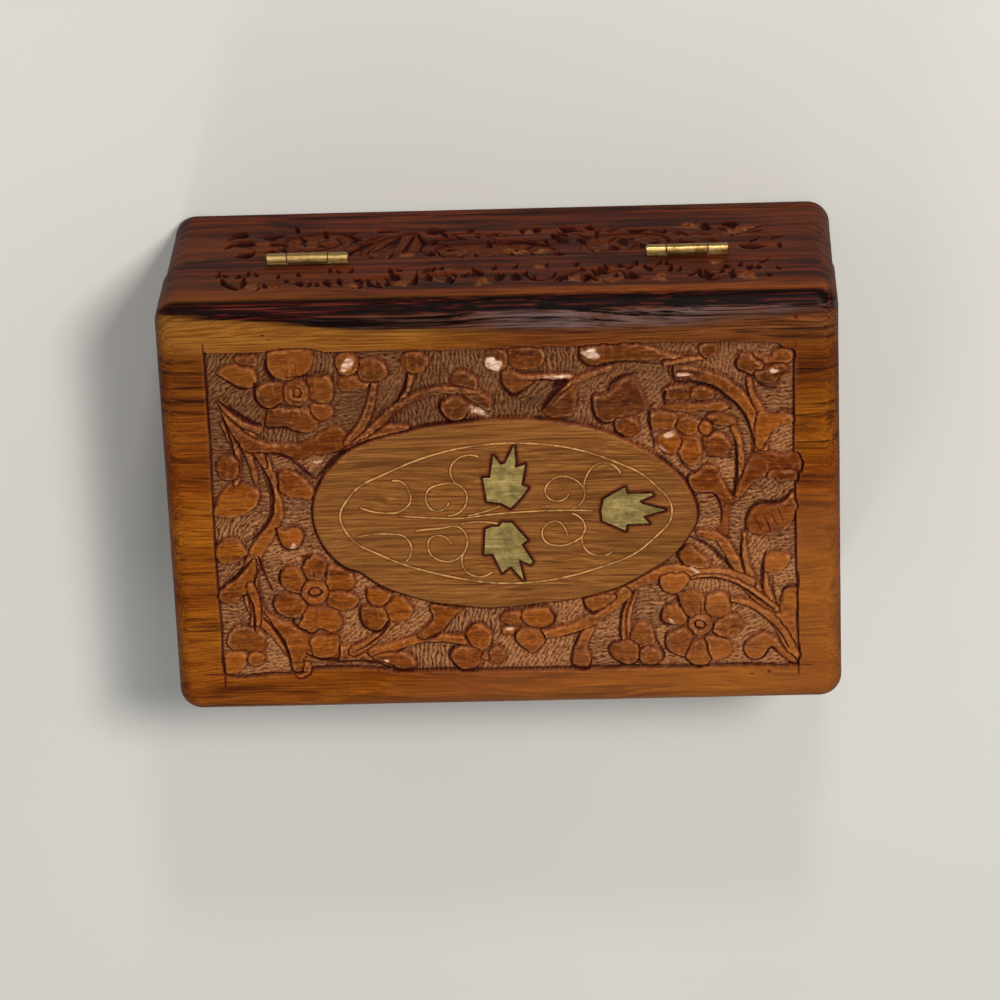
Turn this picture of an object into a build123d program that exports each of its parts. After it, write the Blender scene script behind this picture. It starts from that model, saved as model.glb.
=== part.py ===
from build123d import *

import math
import os

# Carved keepsake box of solid hardwood with a hinged lid and a brass-inlaid oval field.
#
# Frame: +Z up, +X to the right along the long side, +Y towards the hinges. The origin is the middle of the
# underside, on the surface that the box stands on. Sizes are in millimetres.
#
# The box is made as such boxes are: four walls, a bottom board and a top board, glued up and then sawn apart
# along the seam. Walls are rabbeted at the corners. Two small brass butt hinges are let into the rims, with
# their barrels outside the back. The lid's top board is sunk round a raised oval, which holds sheet-brass
# leaves and strips of brass wire laid on edge in their own kerfs.

# ---------------------------------------------------------------- driving dimensions

box_width = 152.4  # lid, along X
box_depth = 101.6  # lid, along Y
box_height = 58.0
seam_height = 34.0  # middle of the gap between base and lid
rim_gap = 0.25  # left by the saw and the hinges when the lid is shut
base_inset = 0.35  # the base is sanded smaller than the lid by this, on each side
corner_radius = 5.2  # upright corners
top_edge_radius = 4.4
bottom_edge_radius = 2.5

wall = 8.0
corner_lip = 3.5  # wood left outside the rabbet at each end of the front and back walls
bottom_board = 5.0
top_board = 7.5
lining = 1.0  # velvet on card
lining_play = 0.2

sunk_depth = 1.6  # of the lid's carved ground below its top face
sunk_left, sunk_right = -65.2, 66.4
sunk_front, sunk_back = -41.5, 38.3
oval_centre = (0.4, -1.9)
oval_half_width = 43.4
oval_half_depth = 23.3

inlay_depth = 1.2
inlay_proud = 0.04  # brass stands this far above the polished wood
leaf_play = 0.15  # all round a leaf in its recess, filled with dark lac
wire_play = 0.02
scroll_wire = 0.32  # thickness of the wire seen from above
oval_wire = 0.38

hinge_length = 18.2
hinge_centre_x = 42.9
outer_knuckle = 4.3
knuckle_gap = 0.3
leaf_thickness = 0.6
leaf_width = 6.5
mortise_play = 0.35  # at each end of a hinge leaf
barrel_radius = 1.1
barrel_off_back = 0.15  # clear of the lid's back face
pin_radius = 0.5
tight_play = 0.02
turning_play = 0.06
pin_head = 0.25  # each end stands out by this
pin_head_radius = 0.75

screw_spacing = 9.6
screw_set_back = 3.7  # from the lid's back face
screw_head_radius = 1.25
screw_shank_radius = 0.65
screw_length = 6.5
screw_slot = 0.35

# ---------------------------------------------------------------- derived places

base_width = box_width - 2 * base_inset
base_depth = box_depth - 2 * base_inset
base_rim = seam_height - rim_gap / 2
lid_rim = seam_height + rim_gap / 2
top_board_z = box_height - top_board
cavity_width = base_width - 2 * wall
cavity_depth = base_depth - 2 * wall
hinge_y = box_depth / 2 + barrel_off_back + barrel_radius
inner_knuckle = hinge_length - 2 * (outer_knuckle + knuckle_gap)

# ---------------------------------------------------------------- brass inlay, seen from above

leaf_outlines = {
    "inlay_leaf_back": [
        (-4.1, 7.2), (-2.5, 7.2), (-1.6, 12.6), (-0.1, 10.4), (1.0, 10.7),
        (3.1, 15.0), (3.3, 10.9), (3.1, 9.5), (5.4, 10.3), (4.4, 5.3),
        (5.9, 4.6), (4.0, 2.0), (1.8, -0.3), (-0.2, 1.0), (-3.4, 1.5),
    ],
    "inlay_leaf_front": [
        (-4.0, -5.5), (-2.5, -4.9), (-0.9, -4.9), (-0.2, -3.9), (1.9, -4.0),
        (5.3, -8.4), (3.9, -9.4), (6.3, -13.8), (5.8, -14.4), (3.2, -13.1),
        (4.1, -18.3), (1.3, -14.7), (-0.6, -16.3), (-2.5, -11.6), (-4.5, -11.6),
    ],
    "inlay_leaf_right": [
        (22.9, 1.3), (25.0, 2.6), (27.7, 4.1), (28.1, 2.5), (33.7, 2.5),
        (33.9, 2.1), (30.7, 0.7), (31.6, -0.1), (36.6, -1.6), (31.5, -3.1),
        (32.9, -4.8), (27.8, -4.9), (27.6, -6.5), (22.5, -3.9), (22.3, -1.6),
    ],
}

oval_wire_points = [
    (-36.8, -1.6), (-34.3, 3.5), (-24.0, 9.8), (-0.7, 15.6), (23.8, 11.4), (33.4, 5.8), (38.2, -1.8),
    (32.5, -10.0), (18.4, -16.6), (2.0, -19.1), (-14.0, -16.7), (-27.2, -11.8), (-34.8, -6.7),
]

# Each wire is one or more open strips that meet.
wire_paths = {
    "inlay_stem_wire": [
        [(-23.3, -1.7), (-15.1, -2.4), (-9.6, -2.6), (-3.6, -1.9), (20.3, -1.4)],
        [(8.8, -0.2), (10.6, 0.0)],
    ],
    "inlay_branch_wire_back": [[(-7.9, -2.0), (-4.5, -1.2), (-0.5, 0.2)]],
    "inlay_branch_wire_front": [[(-9.6, -4.0), (-5.9, -3.6), (-1.3, -4.1)]],
    "inlay_scroll_wire_back_left": [
        [(-12.1, 1.3), (-14.8, -0.7), (-17.2, 3.1), (-12.5, 6.1), (-9.3, 5.4), (-9.0, -0.4),
         (-12.4, -1.9)],
        [(-9.4, 5.5), (-11.4, 9.5), (-8.5, 12.7), (-5.0, 12.5)],
    ],
    "inlay_scroll_wire_front_left": [
        [(-11.9, -8.9), (-13.9, -6.9), (-16.5, -7.3), (-17.2, -9.9), (-13.5, -13.3), (-8.8, -10.6),
         (-9.2, -5.5), (-15.8, -5.1), (-19.9, -5.5)],
        [(-8.7, -10.6), (-8.1, -16.5), (-2.9, -16.1)],
    ],
    "inlay_scroll_wire_back_right": [
        [(15.0, 2.8), (9.8, 3.2), (11.1, 6.2), (17.0, 6.0), (18.6, 3.5), (15.8, -0.7)],
        [(18.6, 3.4), (18.9, 6.5), (22.6, 10.3), (26.9, 7.5)],
    ],
    "inlay_scroll_wire_front_right": [
        [(14.4, -7.5), (13.7, -5.2), (12.4, -3.9), (10.3, -4.2), (9.6, -9.0), (12.2, -9.9),
         (15.2, -9.4), (18.5, -6.1), (15.6, -2.0)],
        [(18.4, -6.3), (19.5, -12.0), (24.8, -11.4)],
    ],
    "inlay_loop_wire_back": [
        [(-24.6, 7.0), (-22.6, 6.8), (-21.0, 4.5), (-20.6, 2.4), (-23.2, -0.6), (-26.4, -0.9),
         (-32.2, 0.6)],
    ],
    "inlay_loop_wire_front": [[(-33.3, -6.8), (-26.2, -6.1), (-22.3, -7.0), (-22.4, -13.1)]],
}


# ---------------------------------------------------------------- helpers

def slab(x_low, x_high, y_low, y_high, z_low, z_high):
    """A plain block between six faces."""
    size = (x_high - x_low, y_high - y_low, z_high - z_low)
    middle = ((x_low + x_high) / 2, (y_low + y_high) / 2, (z_low + z_high) / 2)
    return Pos(*middle) * Box(*size)


def rounded_block(width, depth, z_low, z_high):
    """A block with rounded upright corners, centred on the Z axis."""
    outline = RectangleRounded(width, depth, corner_radius)
    return Pos(0, 0, z_low) * extrude(outline, z_high - z_low)


def mirror_x(solid):
    return mirror(solid, about=Plane.YZ)


def save(name, shape):
    shape.label = name
    export_step(shape, os.path.join("parts", name + ".step"))


# ---------------------------------------------------------------- hinges

def along_barrel(centre_x):
    """The place of a cylinder that lies on the hinge line."""
    return Pos(centre_x, hinge_y, seam_height) * Rot(0, 90, 0)


def screw_places(centre_x):
    return [centre_x - screw_spacing / 2, centre_x + screw_spacing / 2]


def at_screw(x, for_base):
    """Turns a solid that goes down from z 0 into one that goes into a rim from the leaf's face."""
    if for_base:
        return Pos(x, box_depth / 2 - screw_set_back, base_rim)
    return Pos(x, box_depth / 2 - screw_set_back, lid_rim) * Rot(180, 0, 0)


def screw_body(growth=0.0):
    """A countersunk screw or, with some growth, the room for it."""
    top_down = (Align.CENTER, Align.CENTER, Align.MAX)
    head_depth = screw_head_radius - screw_shank_radius
    head = Cone(screw_shank_radius + growth, screw_head_radius + growth, head_depth, align=top_down)
    shank = Cylinder(screw_shank_radius + growth, screw_length + growth, align=top_down)
    return head + shank


def screw(x, for_base):
    slot = Box(3 * screw_head_radius, screw_slot, 2 * screw_slot)
    return at_screw(x, for_base) * (screw_body() - slot)


def screw_hole(x, for_base):
    return at_screw(x, for_base) * screw_body(tight_play)


def hinge_leaf(centre_x, for_base):
    """A leaf of sheet brass in its rim, rolled into its own knuckles at the back.

    The base's leaf carries the long middle knuckle, and the lid's leaf the two short outer ones."""
    left = centre_x - hinge_length / 2
    if for_base:
        z_low, z_high = base_rim - leaf_thickness, base_rim
        back = base_depth / 2
        knuckles = [(left + outer_knuckle + knuckle_gap, inner_knuckle)]
        play = turning_play
    else:
        z_low, z_high = lid_rim, lid_rim + leaf_thickness
        back = box_depth / 2
        knuckles = [(left, outer_knuckle), (left + hinge_length - outer_knuckle, outer_knuckle)]
        play = tight_play
    front = box_depth / 2 - leaf_width
    leaf = slab(left, left + hinge_length, front, back, z_low, z_high)
    for x_start, length in knuckles:
        leaf += slab(x_start, x_start + length, back, hinge_y, z_low, z_high)
        leaf += along_barrel(x_start + length / 2) * Cylinder(barrel_radius, length)
    leaf -= along_barrel(centre_x) * Cylinder(pin_radius + play, hinge_length)
    for x in screw_places(centre_x):
        leaf -= screw_hole(x, for_base)
    return leaf


def hinge_pin(centre_x):
    """The pin, with both ends peened over the barrel."""
    head = Cylinder(pin_head_radius, pin_head, align=(Align.CENTER, Align.CENTER, Align.MIN))
    head = Pos(0, 0, hinge_length / 2) * head
    pin = Cylinder(pin_radius, hinge_length) + head + Rot(180, 0, 0) * head
    return along_barrel(centre_x) * pin


def mortise(centre_x, for_base):
    """The shallow step cut in a rim for a hinge leaf, open at the back."""
    half = hinge_length / 2 + mortise_play
    front = box_depth / 2 - leaf_width
    if for_base:
        z_low, z_high = base_rim - leaf_thickness, base_rim + 1
    else:
        z_low, z_high = lid_rim - 1, lid_rim + leaf_thickness
    return slab(centre_x - half, centre_x + half, front, box_depth, z_low, z_high)


# ---------------------------------------------------------------- wooden walls

def wall_boards(outer, width, depth, z_low, z_high, for_base):
    """The four walls of the base or the lid, cut from the rounded outside shape.

    The front and back walls run the full width and are rabbeted at each end for the side walls."""
    half_width, half_depth = width / 2, depth / 2
    side_reach = half_depth - corner_lip
    side_region = slab(half_width - wall, half_width, -side_reach, side_reach, z_low, z_high)
    back_region = slab(-half_width, half_width, half_depth - wall, half_depth, z_low, z_high)
    right = outer & side_region
    back = (outer & back_region) - side_region - mirror_x(side_region)
    front = mirror(back, about=Plane.XZ)
    for centre_x in (-hinge_centre_x, hinge_centre_x):
        back -= mortise(centre_x, for_base)
        for x in screw_places(centre_x):
            back -= screw_hole(x, for_base)
    return {"front": front, "back": back, "left": mirror_x(right), "right": right}


# ---------------------------------------------------------------- inlay solids

def leaf_face(points, grow=0.0):
    face = make_face(Polyline(*points, close=True))
    return offset(face, grow, kind=Kind.INTERSECTION) if grow else face


def bent_path(points, closed=False):
    """A smooth path through the points, as wire bends: from each point to the next it has two arcs
    that meet with a common tangent. The tangent at a point is weighted towards the shorter stretch."""
    places = [Vector(*point) for point in points]
    count = len(places)
    chords = [places[(k + 1) % count] - places[k] for k in range(count)]
    tangents = []
    for k in range(count):
        before, after = chords[k - 1], chords[k]
        tangents.append((before / before.length**2 + after / after.length**2).normalized())
    if not closed:
        for end, beside, chord in ((0, 1, chords[0]), (-1, -2, chords[-2])):
            along = chord.normalized()
            tangents[end] = along * (2 * along.dot(tangents[beside])) - tangents[beside]
    arcs = []
    for k in range(count if closed else count - 1):
        start, chord, finish = places[k], chords[k], places[(k + 1) % count]
        leaving, arriving = tangents[k], tangents[(k + 1) % count]
        turn = 2 * (1 - leaving.dot(arriving))
        run = chord.dot(leaving + arriving)
        arm = (math.sqrt(run**2 + turn * chord.length**2) - run) / turn
        joint = (start + finish + (leaving - arriving) * arm) / 2
        arcs.append(TangentArc(start, joint, tangent=leaving))
        arcs.append(TangentArc(joint, finish, tangent=arcs[-1] % 1))
    return Wire(arcs)


def strip(points, width):
    path = bent_path(points) if len(points) > 2 else Line(*points)
    return trace(path, width)


def wire_faces(paths, width):
    """Every strip of one wire, merged where they meet."""
    faces = strip(paths[0], width)
    for points in paths[1:]:
        faces += strip(points, width)
    return faces


def oval_face(width):
    return trace(bent_path(oval_wire_points, closed=True), width)


def sink(face, height):
    """A flat inlay shape as a solid from the bottom of its recess up to the given height."""
    return Pos(0, 0, box_height - inlay_depth) * extrude(face, height)


# ---------------------------------------------------------------- build

os.makedirs("parts", exist_ok=True)
parts = {}

base_outer = rounded_block(base_width, base_depth, 0, base_rim)
base_outer = fillet(base_outer.faces().sort_by(Axis.Z)[0].edges(), bottom_edge_radius)
lid_outer = rounded_block(box_width, box_depth, lid_rim, box_height)
lid_outer = fillet(lid_outer.faces().sort_by(Axis.Z)[-1].edges(), top_edge_radius)

base_walls = wall_boards(base_outer, base_width, base_depth, bottom_board, base_rim, True)
lid_walls = wall_boards(lid_outer, box_width, box_depth, lid_rim, top_board_z, False)
for side in ("front", "back", "left", "right"):
    parts["base_" + side + "_wall"] = base_walls[side]
    parts["lid_" + side + "_wall"] = lid_walls[side]

reach = box_width
parts["base_bottom_board"] = base_outer & slab(-reach, reach, -reach, reach, 0, bottom_board)

lining_half_width = cavity_width / 2 - lining_play
lining_half_depth = cavity_depth / 2 - lining_play
for name, z_low in (("base_floor_lining", bottom_board), ("lid_lining", top_board_z - lining)):
    parts[name] = slab(
        -lining_half_width,
        lining_half_width,
        -lining_half_depth,
        lining_half_depth,
        z_low,
        z_low + lining,
    )

# The lid's top board: sunk ground round the oval field, then the recesses and kerfs of the inlay.
top = lid_outer & slab(-reach, reach, -reach, reach, top_board_z, box_height)
ground = slab(sunk_left, sunk_right, sunk_front, sunk_back, box_height - sunk_depth, box_height + 1)
oval_field = Pos(*oval_centre, box_height - sunk_depth) * extrude(
    Ellipse(oval_half_width, oval_half_depth), sunk_depth + 1
)
top -= ground - oval_field

brass_height = inlay_depth + inlay_proud
cut_height = inlay_depth + 1
for name, points in leaf_outlines.items():
    parts[name] = sink(leaf_face(points), brass_height)
    top -= sink(leaf_face(points, leaf_play), cut_height)
parts["inlay_oval_wire"] = sink(oval_face(oval_wire), brass_height)
top -= sink(oval_face(oval_wire + 2 * wire_play), cut_height)
for name, paths in wire_paths.items():
    parts[name] = sink(wire_faces(paths, scroll_wire), brass_height)
    for points in paths:
        top -= sink(strip(points, scroll_wire + 2 * wire_play), cut_height)
parts["lid_top_board"] = top

screws = {"base": [], "lid": []}
for side, centre_x in (("left", -hinge_centre_x), ("right", hinge_centre_x)):
    parts["hinge_" + side + "_base_leaf"] = hinge_leaf(centre_x, for_base=True)
    parts["hinge_" + side + "_lid_leaf"] = hinge_leaf(centre_x, for_base=False)
    parts["hinge_" + side + "_pin"] = hinge_pin(centre_x)
    for x in screw_places(centre_x):
        screws["base"].append(screw(x, for_base=True))
        screws["lid"].append(screw(x, for_base=False))
for body, made in screws.items():
    parts["hinge_screws_" + body] = Compound(children=made)

for name, shape in parts.items():
    save(name, shape)
print(len(parts), "parts")
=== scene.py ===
"""Looks of the carved keepsake box: carved wood, brass inlay, brass hinges, velvet linings, floor and light.

Plan sizes are in millimetres, in the frame of the CAD model, and turn into metres where a mesh is made.
Carved faces are reliefs: heights on a lattice, with the motifs put down one after another.
"""
import math

import bpy
import bmesh
import numpy as np
from mathutils import Matrix, Vector


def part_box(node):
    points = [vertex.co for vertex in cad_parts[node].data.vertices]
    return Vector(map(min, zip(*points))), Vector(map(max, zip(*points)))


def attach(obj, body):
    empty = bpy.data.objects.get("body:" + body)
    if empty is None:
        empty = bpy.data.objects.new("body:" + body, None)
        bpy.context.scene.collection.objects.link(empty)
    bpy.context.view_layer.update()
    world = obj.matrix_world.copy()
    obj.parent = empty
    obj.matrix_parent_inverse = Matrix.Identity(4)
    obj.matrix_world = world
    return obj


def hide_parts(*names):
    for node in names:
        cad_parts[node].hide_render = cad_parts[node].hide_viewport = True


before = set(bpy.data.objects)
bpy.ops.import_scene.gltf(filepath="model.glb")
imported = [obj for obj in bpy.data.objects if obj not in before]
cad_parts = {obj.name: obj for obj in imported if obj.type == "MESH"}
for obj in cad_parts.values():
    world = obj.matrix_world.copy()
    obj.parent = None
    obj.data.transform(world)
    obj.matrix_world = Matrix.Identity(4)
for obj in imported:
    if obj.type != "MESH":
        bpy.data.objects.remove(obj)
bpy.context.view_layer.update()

# ---------------------------------------------------------------- driving sizes, mm

MM = 0.001
BOX_WIDTH, BOX_DEPTH, BOX_HEIGHT = 152.4, 101.6, 58.0
SEAM = 34.0
RIM_GAP = 0.25
BASE_INSET = 0.35
CORNER = 5.2
TOP_EDGE = 4.4
WALL = 8.0
CORNER_LIP = 3.5
BOTTOM_BOARD = 5.0
TOP_BOARD = 7.5
HINGE_X, HINGE_LENGTH = 42.9, 18.2
MORTISE_PLAY, MORTISE_REACH, LEAF = 0.35, 6.5, 0.6
MORTISE_FACE = BOX_DEPTH / 2 - MORTISE_REACH

BASE_RIM = SEAM - RIM_GAP / 2
LID_RIM = SEAM + RIM_GAP / 2
BLOCK = 4  # fine cells along one side of a coarse block
CELL = 0.28  # aimed size of a fine cell

# ---------------------------------------------------------------- layout of the carving, seen from above

GROUND_DEPTH = 1.35
TICK_PITCH = 0.95
FORM, STEM, CUT, BEAD = "form", "stem", "cut", "bead"

PANEL_OUTLINE = [
    (-65.3, 39), (-64.5, 38.9), (-57, 38.8), (-52, 38.9), (-48.5, 39.6), (-43, 39.7), (-39.5, 38.9),
    (-36.5, 38.5), (-25, 38.5), (-12, 38.4), (-3, 38.4), (8, 38.5), (11, 38.8), (20, 38.5), (27, 38.9),
    (40, 39), (50, 38.8), (60, 38.4), (62.6, 38.2), (63.6, 37.2), (65.8, 36.8), (66.5, 35.2), (66.1, 33),
    (66, 22), (65.8, 11.3), (66.1, 6.9), (66.1, -5), (66.1, -17), (66.3, -22), (66.1, -33), (66, -41.2),
    (55, -41.3), (40, -41.4), (30, -41.3), (19, -41.2), (10, -41.3), (-2, -41.2), (-10, -41.1),
    (-20, -40.9), (-27, -40.7), (-34, -39.9), (-45, -40), (-49, -41), (-56, -41.3), (-65.1, -41),
    (-65.4, -30), (-65.7, -15), (-65.6, 0), (-65.3, 18), (-65.2, 30),
]
OVAL_EDGE = [
    (-42.9, -1.9), (-42.3, 3), (-40.6, 7), (-38.5, 10.1), (-33.7, 14.6), (-26.8, 17.4), (-20.3, 18.9),
    (-15.5, 19.9), (-5, 20.9), (4.5, 21.2), (13.6, 20.3), (21, 18.6), (26.9, 16.2), (35.8, 10.7),
    (40.9, 5.6), (43.4, 0), (43.7, -4.5), (41.8, -8.3), (38.3, -12.9), (33, -16.7), (25.9, -20.7),
    (18.5, -22.9), (12.2, -24), (2, -25), (-5, -25.3), (-10, -24.6), (-15.4, -23.9), (-20.6, -22.4),
    (-26.2, -20.3), (-29.6, -18.3), (-33, -15.6), (-36.4, -14.2), (-39.6, -10.9), (-41.8, -7),
]
LID_MOTIFS = [
    (STEM, [(-53.2, 12.5), (-51.6, 6), (-51, 1), (-51.6, -2.6), (-53.8, -6.5), (-56.3, -10.2),
        (-57.9, -15), (-57.9, -21), (-56.6, -26), (-52.5, -30.5), (-48.5, -36.5), (-47.6, -40)], 2, 4.2),
    (STEM, [(-47, -35.2), (-40, -36.4), (-33, -36.6), (-27, -38.2), (-22.5, -39.3)], 5, 2.6),
    (FORM, [(-55.4, -25), (-52.4, -27.2), (-49.4, -28.6), (-45, -31.2), (-38.8, -31.3), (-38.6, -33.4),
        (-39.4, -37.8), (-46.2, -36.6), (-47.6, -40.4), (-49.2, -40.6), (-50.4, -35.4), (-52.2, -31.2)]),
    (FORM, [(-44.9, -32.2), (-41.5, -31.7), (-38.7, -32.2), (-39.6, -36.8), (-44.2, -36.8),
        (-45.2, -34.6)], {"cut": 0.35, "line": 0.6}),
    (STEM, [(-35.5, -35.8), (-31.8, -33.8), (-28.4, -30.8), (-25.6, -27.6)], 2.2, 1.6),
    (STEM, [(-31, -36), (-25, -34.4), (-20, -33.1), (-14, -33), (-9.5, -33.7)], 2.2, 2),
    (FORM, [(-17.2, -24.2), (-16.8, -27.6), (-18.4, -30), (-20.6, -32.4), (-18, -33), (-15, -31),
        (-12.6, -28), (-10.2, -25.4), (-12, -24.4)]),
    (FORM, [(-27.5, -36), (-23, -36.8), (-21.7, -38), (-21.4, -40), (-24, -40.7), (-27.5, -39.2),
        (-31, -37.4)]),
    (CUT, [(-46.2, -36), (-44, -37.4), (-40, -38.2), (-35, -38.4), (-31, -38.6), (-28.5, -39.6),
        (-26, -40.7), (-22, -41)], 0.55, 1),
    (CUT, [(-25.6, -36.2), (-22.5, -34.9), (-20, -34.2), (-16, -34), (-13, -34.4), (-9.9, -35)], 0.45, 0.9),
    (CUT, [(-50, -40.4), (-48.8, -40.9), (-46.2, -40.7)], 0.4, 0.8),
    (FORM, [(-57, -12), (-60.2, -16), (-63.2, -18.2), (-65.4, -20.2), (-65.2, -22.4), (-63.2, -23.3),
        (-61.8, -22.8), (-60.4, -21.3), (-58, -19.8), (-56.8, -16)]),
    (STEM, [(-58, -19), (-57.2, -24), (-57.6, -28.5), (-58.6, -31)], 2, 2.4),
    (FORM, [(-62, -29), (-63.8, -31), (-64.2, -33), (-63, -34.8), (-60.4, -35.2), (-57.2, -35.8),
        (-55.7, -34.4), (-55.6, -31.6), (-57, -29), (-59, -29.2)]),
    (FORM, [(-65.2, -38.6), (-65, -36.2), (-62.8, -35.3), (-60.4, -35.7), (-60, -37.6), (-60.8, -39.6),
        (-63, -40.9), (-65, -40.8)]),
    (FORM, [(-59.7, -38.4), (-59.5, -36.2), (-57.6, -35.4), (-56, -36.6), (-56.4, -38.6),
        (-58, -39.4)], {"level": -0.15}),
    (FORM, [(-65.4, -9.6), (-64.4, -7.8), (-62.6, -6.6), (-60.8, -7), (-59.2, -8.6), (-58.3, -10.2),
        (-59.6, -11.4), (-61.5, -12.8), (-64.2, -13), (-65.5, -11.6)]),
    (FORM, [(-64.9, 1.2), (-64.2, 3.5), (-62.6, 5.6), (-60.5, 6.7), (-57.5, 6.5), (-55.4, 5.4),
        (-54.9, 3.4), (-56, 1.2), (-57.7, -0.5), (-60, -1.2), (-62.2, -1.4), (-65.2, -0.7)]),
    (STEM, [(-61.9, 21.5), (-60.2, 17), (-59.1, 13.5), (-59.3, 9.6), (-60, 6.6)], 1.2, 1),
    (FORM, [(-63.2, 13.1), (-64.2, 11.2), (-63.9, 9.4), (-62.9, 8.1), (-60.4, 8), (-59.4, 9), (-59, 11),
        (-59.4, 13.2), (-61.4, 13.6)]),
    (STEM, [(-60.8, 22.5), (-58.6, 18.6), (-56.9, 14.5), (-55.9, 10.5), (-55.4, 7.2)], 2.2, 0.9),
    (STEM, [(-56.5, 18.2), (-54.6, 14.8), (-53.3, 11.2)], 3.4, 1.2),
    (FORM, [(-62.3, 26.6), (-61.4, 24.8), (-60.2, 22), (-57, 19.2), (-52.4, 16.8), (-46.2, 16),
        (-43, 16.9), (-40.2, 18.6), (-37.2, 20.2), (-35, 19.3), (-34.2, 16.4), (-36.5, 14.2),
        (-40.5, 13.4), (-43.2, 13.2), (-45.2, 12.4), (-48.6, 13.4), (-53.5, 14.5), (-57.5, 15),
        (-59.6, 18.6), (-61.6, 22.2)]),
    (STEM, [(-62.4, 27), (-60.2, 23.9), (-57.4, 21.4), (-54.2, 20)], 1.1, 1.6),
    (CUT, [(-62.8, 27.2), (-60, 24.8), (-57.5, 22.9), (-55.3, 21.5), (-53.4, 20.9)], 0.6, 1.1),
    (CUT, [(-61.9, 23.2), (-61, 19.6), (-60.3, 16.5), (-59.8, 13.4)], 0.45, 1),
    (CUT, [(-53.2, 14.3), (-50.6, 13.9), (-48.2, 12.9), (-45.8, 11), (-43.8, 8.9), (-41.6, 7.2)], 0.6, 1.2),
    (FORM, [(-50.1, 4.2), (-50.3, 7.2), (-50, 9.4), (-47.5, 9.6), (-45.4, 8.4), (-43.6, 6.6),
        (-42.7, 4.6), (-43.4, 2.4), (-46, 3)], {"level": -0.2, "line": 0.5}),
    (FORM, [(-51.3, -4.4), (-50.2, -5), (-46.6, -4.6), (-45.7, -6.2), (-46.2, -8.6), (-47.6, -9.8),
        (-49.6, -9.7), (-50.9, -8.2), (-51.4, -6)], {"level": -0.1}),
    (CUT, [(-51.7, -4.2), (-50.9, -7.6), (-50.2, -9.3), (-48.5, -9.9), (-46.8, -9.9)], 0.45, 1),
    (CUT, [(-54.1, 11.3), (-52.8, 8.5), (-52, 5), (-51.9, 1.5), (-52.5, -1.4), (-54.3, -4.4),
        (-57, -7.2)], 0.55, 1.1),
    (CUT, [(-55.9, -11.4), (-55.3, -14), (-54.4, -17.2), (-53.2, -20.2)], 0.5, 1),
    (CUT, [(-58.9, -20.8), (-58, -23.5), (-57.7, -26.5), (-57.8, -29.8)], 0.5, 1),
    (CUT, [(-55.6, -26.8), (-53.6, -29.2), (-51.7, -32.4), (-50.5, -35.8), (-49.9, -39.8)], 0.55, 1.1),
    (CUT, [(-57.3, -11.8), (-59.4, -14.4), (-61.6, -16.8), (-63.4, -18)], 0.45, 0.9),
    (FORM, [(-58.3, 37.6), (-54.2, 38), (-54, 35.6), (-57.8, 35.8)], {"level": -0.25, "line": 0.5}),
    (FORM, [(-62.8, 33.9), (-60.6, 35.4), (-58.4, 36), (-57.3, 35.2), (-55, 35), (-54, 33), (-53.9, 31.2),
        (-56, 30.1), (-58.3, 30.5), (-60.6, 32.2)]),
    (FORM, [(-50.4, 38.9), (-51.3, 35.6), (-50.2, 33.2), (-48, 32), (-45, 32.4), (-43.2, 33), (-41.6, 35),
        (-41, 37.4), (-42, 39.2), (-46, 39.4)]),
    (FORM, [(-41.9, 32.6), (-38.6, 33), (-37.2, 31.5), (-37, 28), (-38.2, 26), (-41.2, 26.6),
        (-42.8, 28.6), (-42.8, 31)], {"level": -0.15}),
    (FORM, [(-51.8, 25.2), (-52.3, 20.5), (-48.6, 20.4), (-46.2, 19.5), (-43.4, 18.9), (-40.8, 20.6),
        (-41.2, 23), (-43, 24.6), (-47, 24.9)]),
    (FORM, [(-41.5, 26), (-38.4, 25.8), (-37.2, 23.6), (-38.8, 21.8), (-40.8, 22.4),
        (-42, 24.4)], {"level": -0.2}),
    (FORM, [(-50.6, 31.6), (-52.6, 31), (-54.1, 29), (-54.2, 27.2), (-53, 25.5), (-51, 25.2),
        (-48.6, 26.4), (-47.6, 28.6), (-48.4, 30.8)]),
    (BEAD, -45.2, 28.8, 2.9, 3.1, {"level": -0.15, "cut": 0.5, "line": 0.6}),
    (BEAD, -45, 28.7, 0.9, 0.8, {"level": -0.5, "cut": 0.5}),
    (CUT, [(-51.9, 36.6), (-51.7, 34.6), (-51, 33), (-50, 31.6)], 0.7, 1.3),
    (CUT, [(-54.4, 31.4), (-54.6, 28.5), (-53.8, 26.2), (-52.2, 25.1), (-50, 25.4)], 0.55, 1.1),
    (CUT, [(-51.9, 24.8), (-52.6, 20.6), (-50, 20.2), (-47.8, 20.1), (-45.6, 19), (-43, 18.7)], 0.5, 1.1),
    (CUT, [(-47.4, 32.8), (-45, 32.6), (-43, 32.5), (-38, 32.9)], 0.35, 0.7),
    (CUT, [(-62.6, 33.6), (-60.6, 32), (-58.4, 30.4), (-56.5, 29.9), (-54.6, 30)], 0.55, 1.1),
    (FORM, [(-35, 32.2), (-35.2, 28.8), (-32.4, 28.9), (-29.4, 29.4), (-28.6, 31.4),
        (-31, 32.4)], {"level": -0.1}),
    (STEM, [(-27.6, 31.5), (-28.2, 27.5), (-29.4, 23.4), (-31.4, 19.6), (-34.2, 16.2)], 1.5, 2),
    (FORM, [(-30.8, 36.2), (-26.4, 36.2), (-24.7, 34.4), (-25.1, 32.2), (-27.6, 31.1), (-30.4, 31.5),
        (-31.2, 33.8)]),
    (BEAD, -33.5, 35.6, 2.6, 2.8),
    (STEM, [(-19, 33), (-20, 29.6), (-21.8, 26.4), (-23.8, 23.8)], 1.2, 1),
    (CUT, [(-20.2, 32.8), (-20.8, 29.8), (-22.2, 27), (-23.7, 24.5)], 0.5, 1.1),
    (BEAD, -18.4, 35.6, 3, 2.6),
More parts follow.
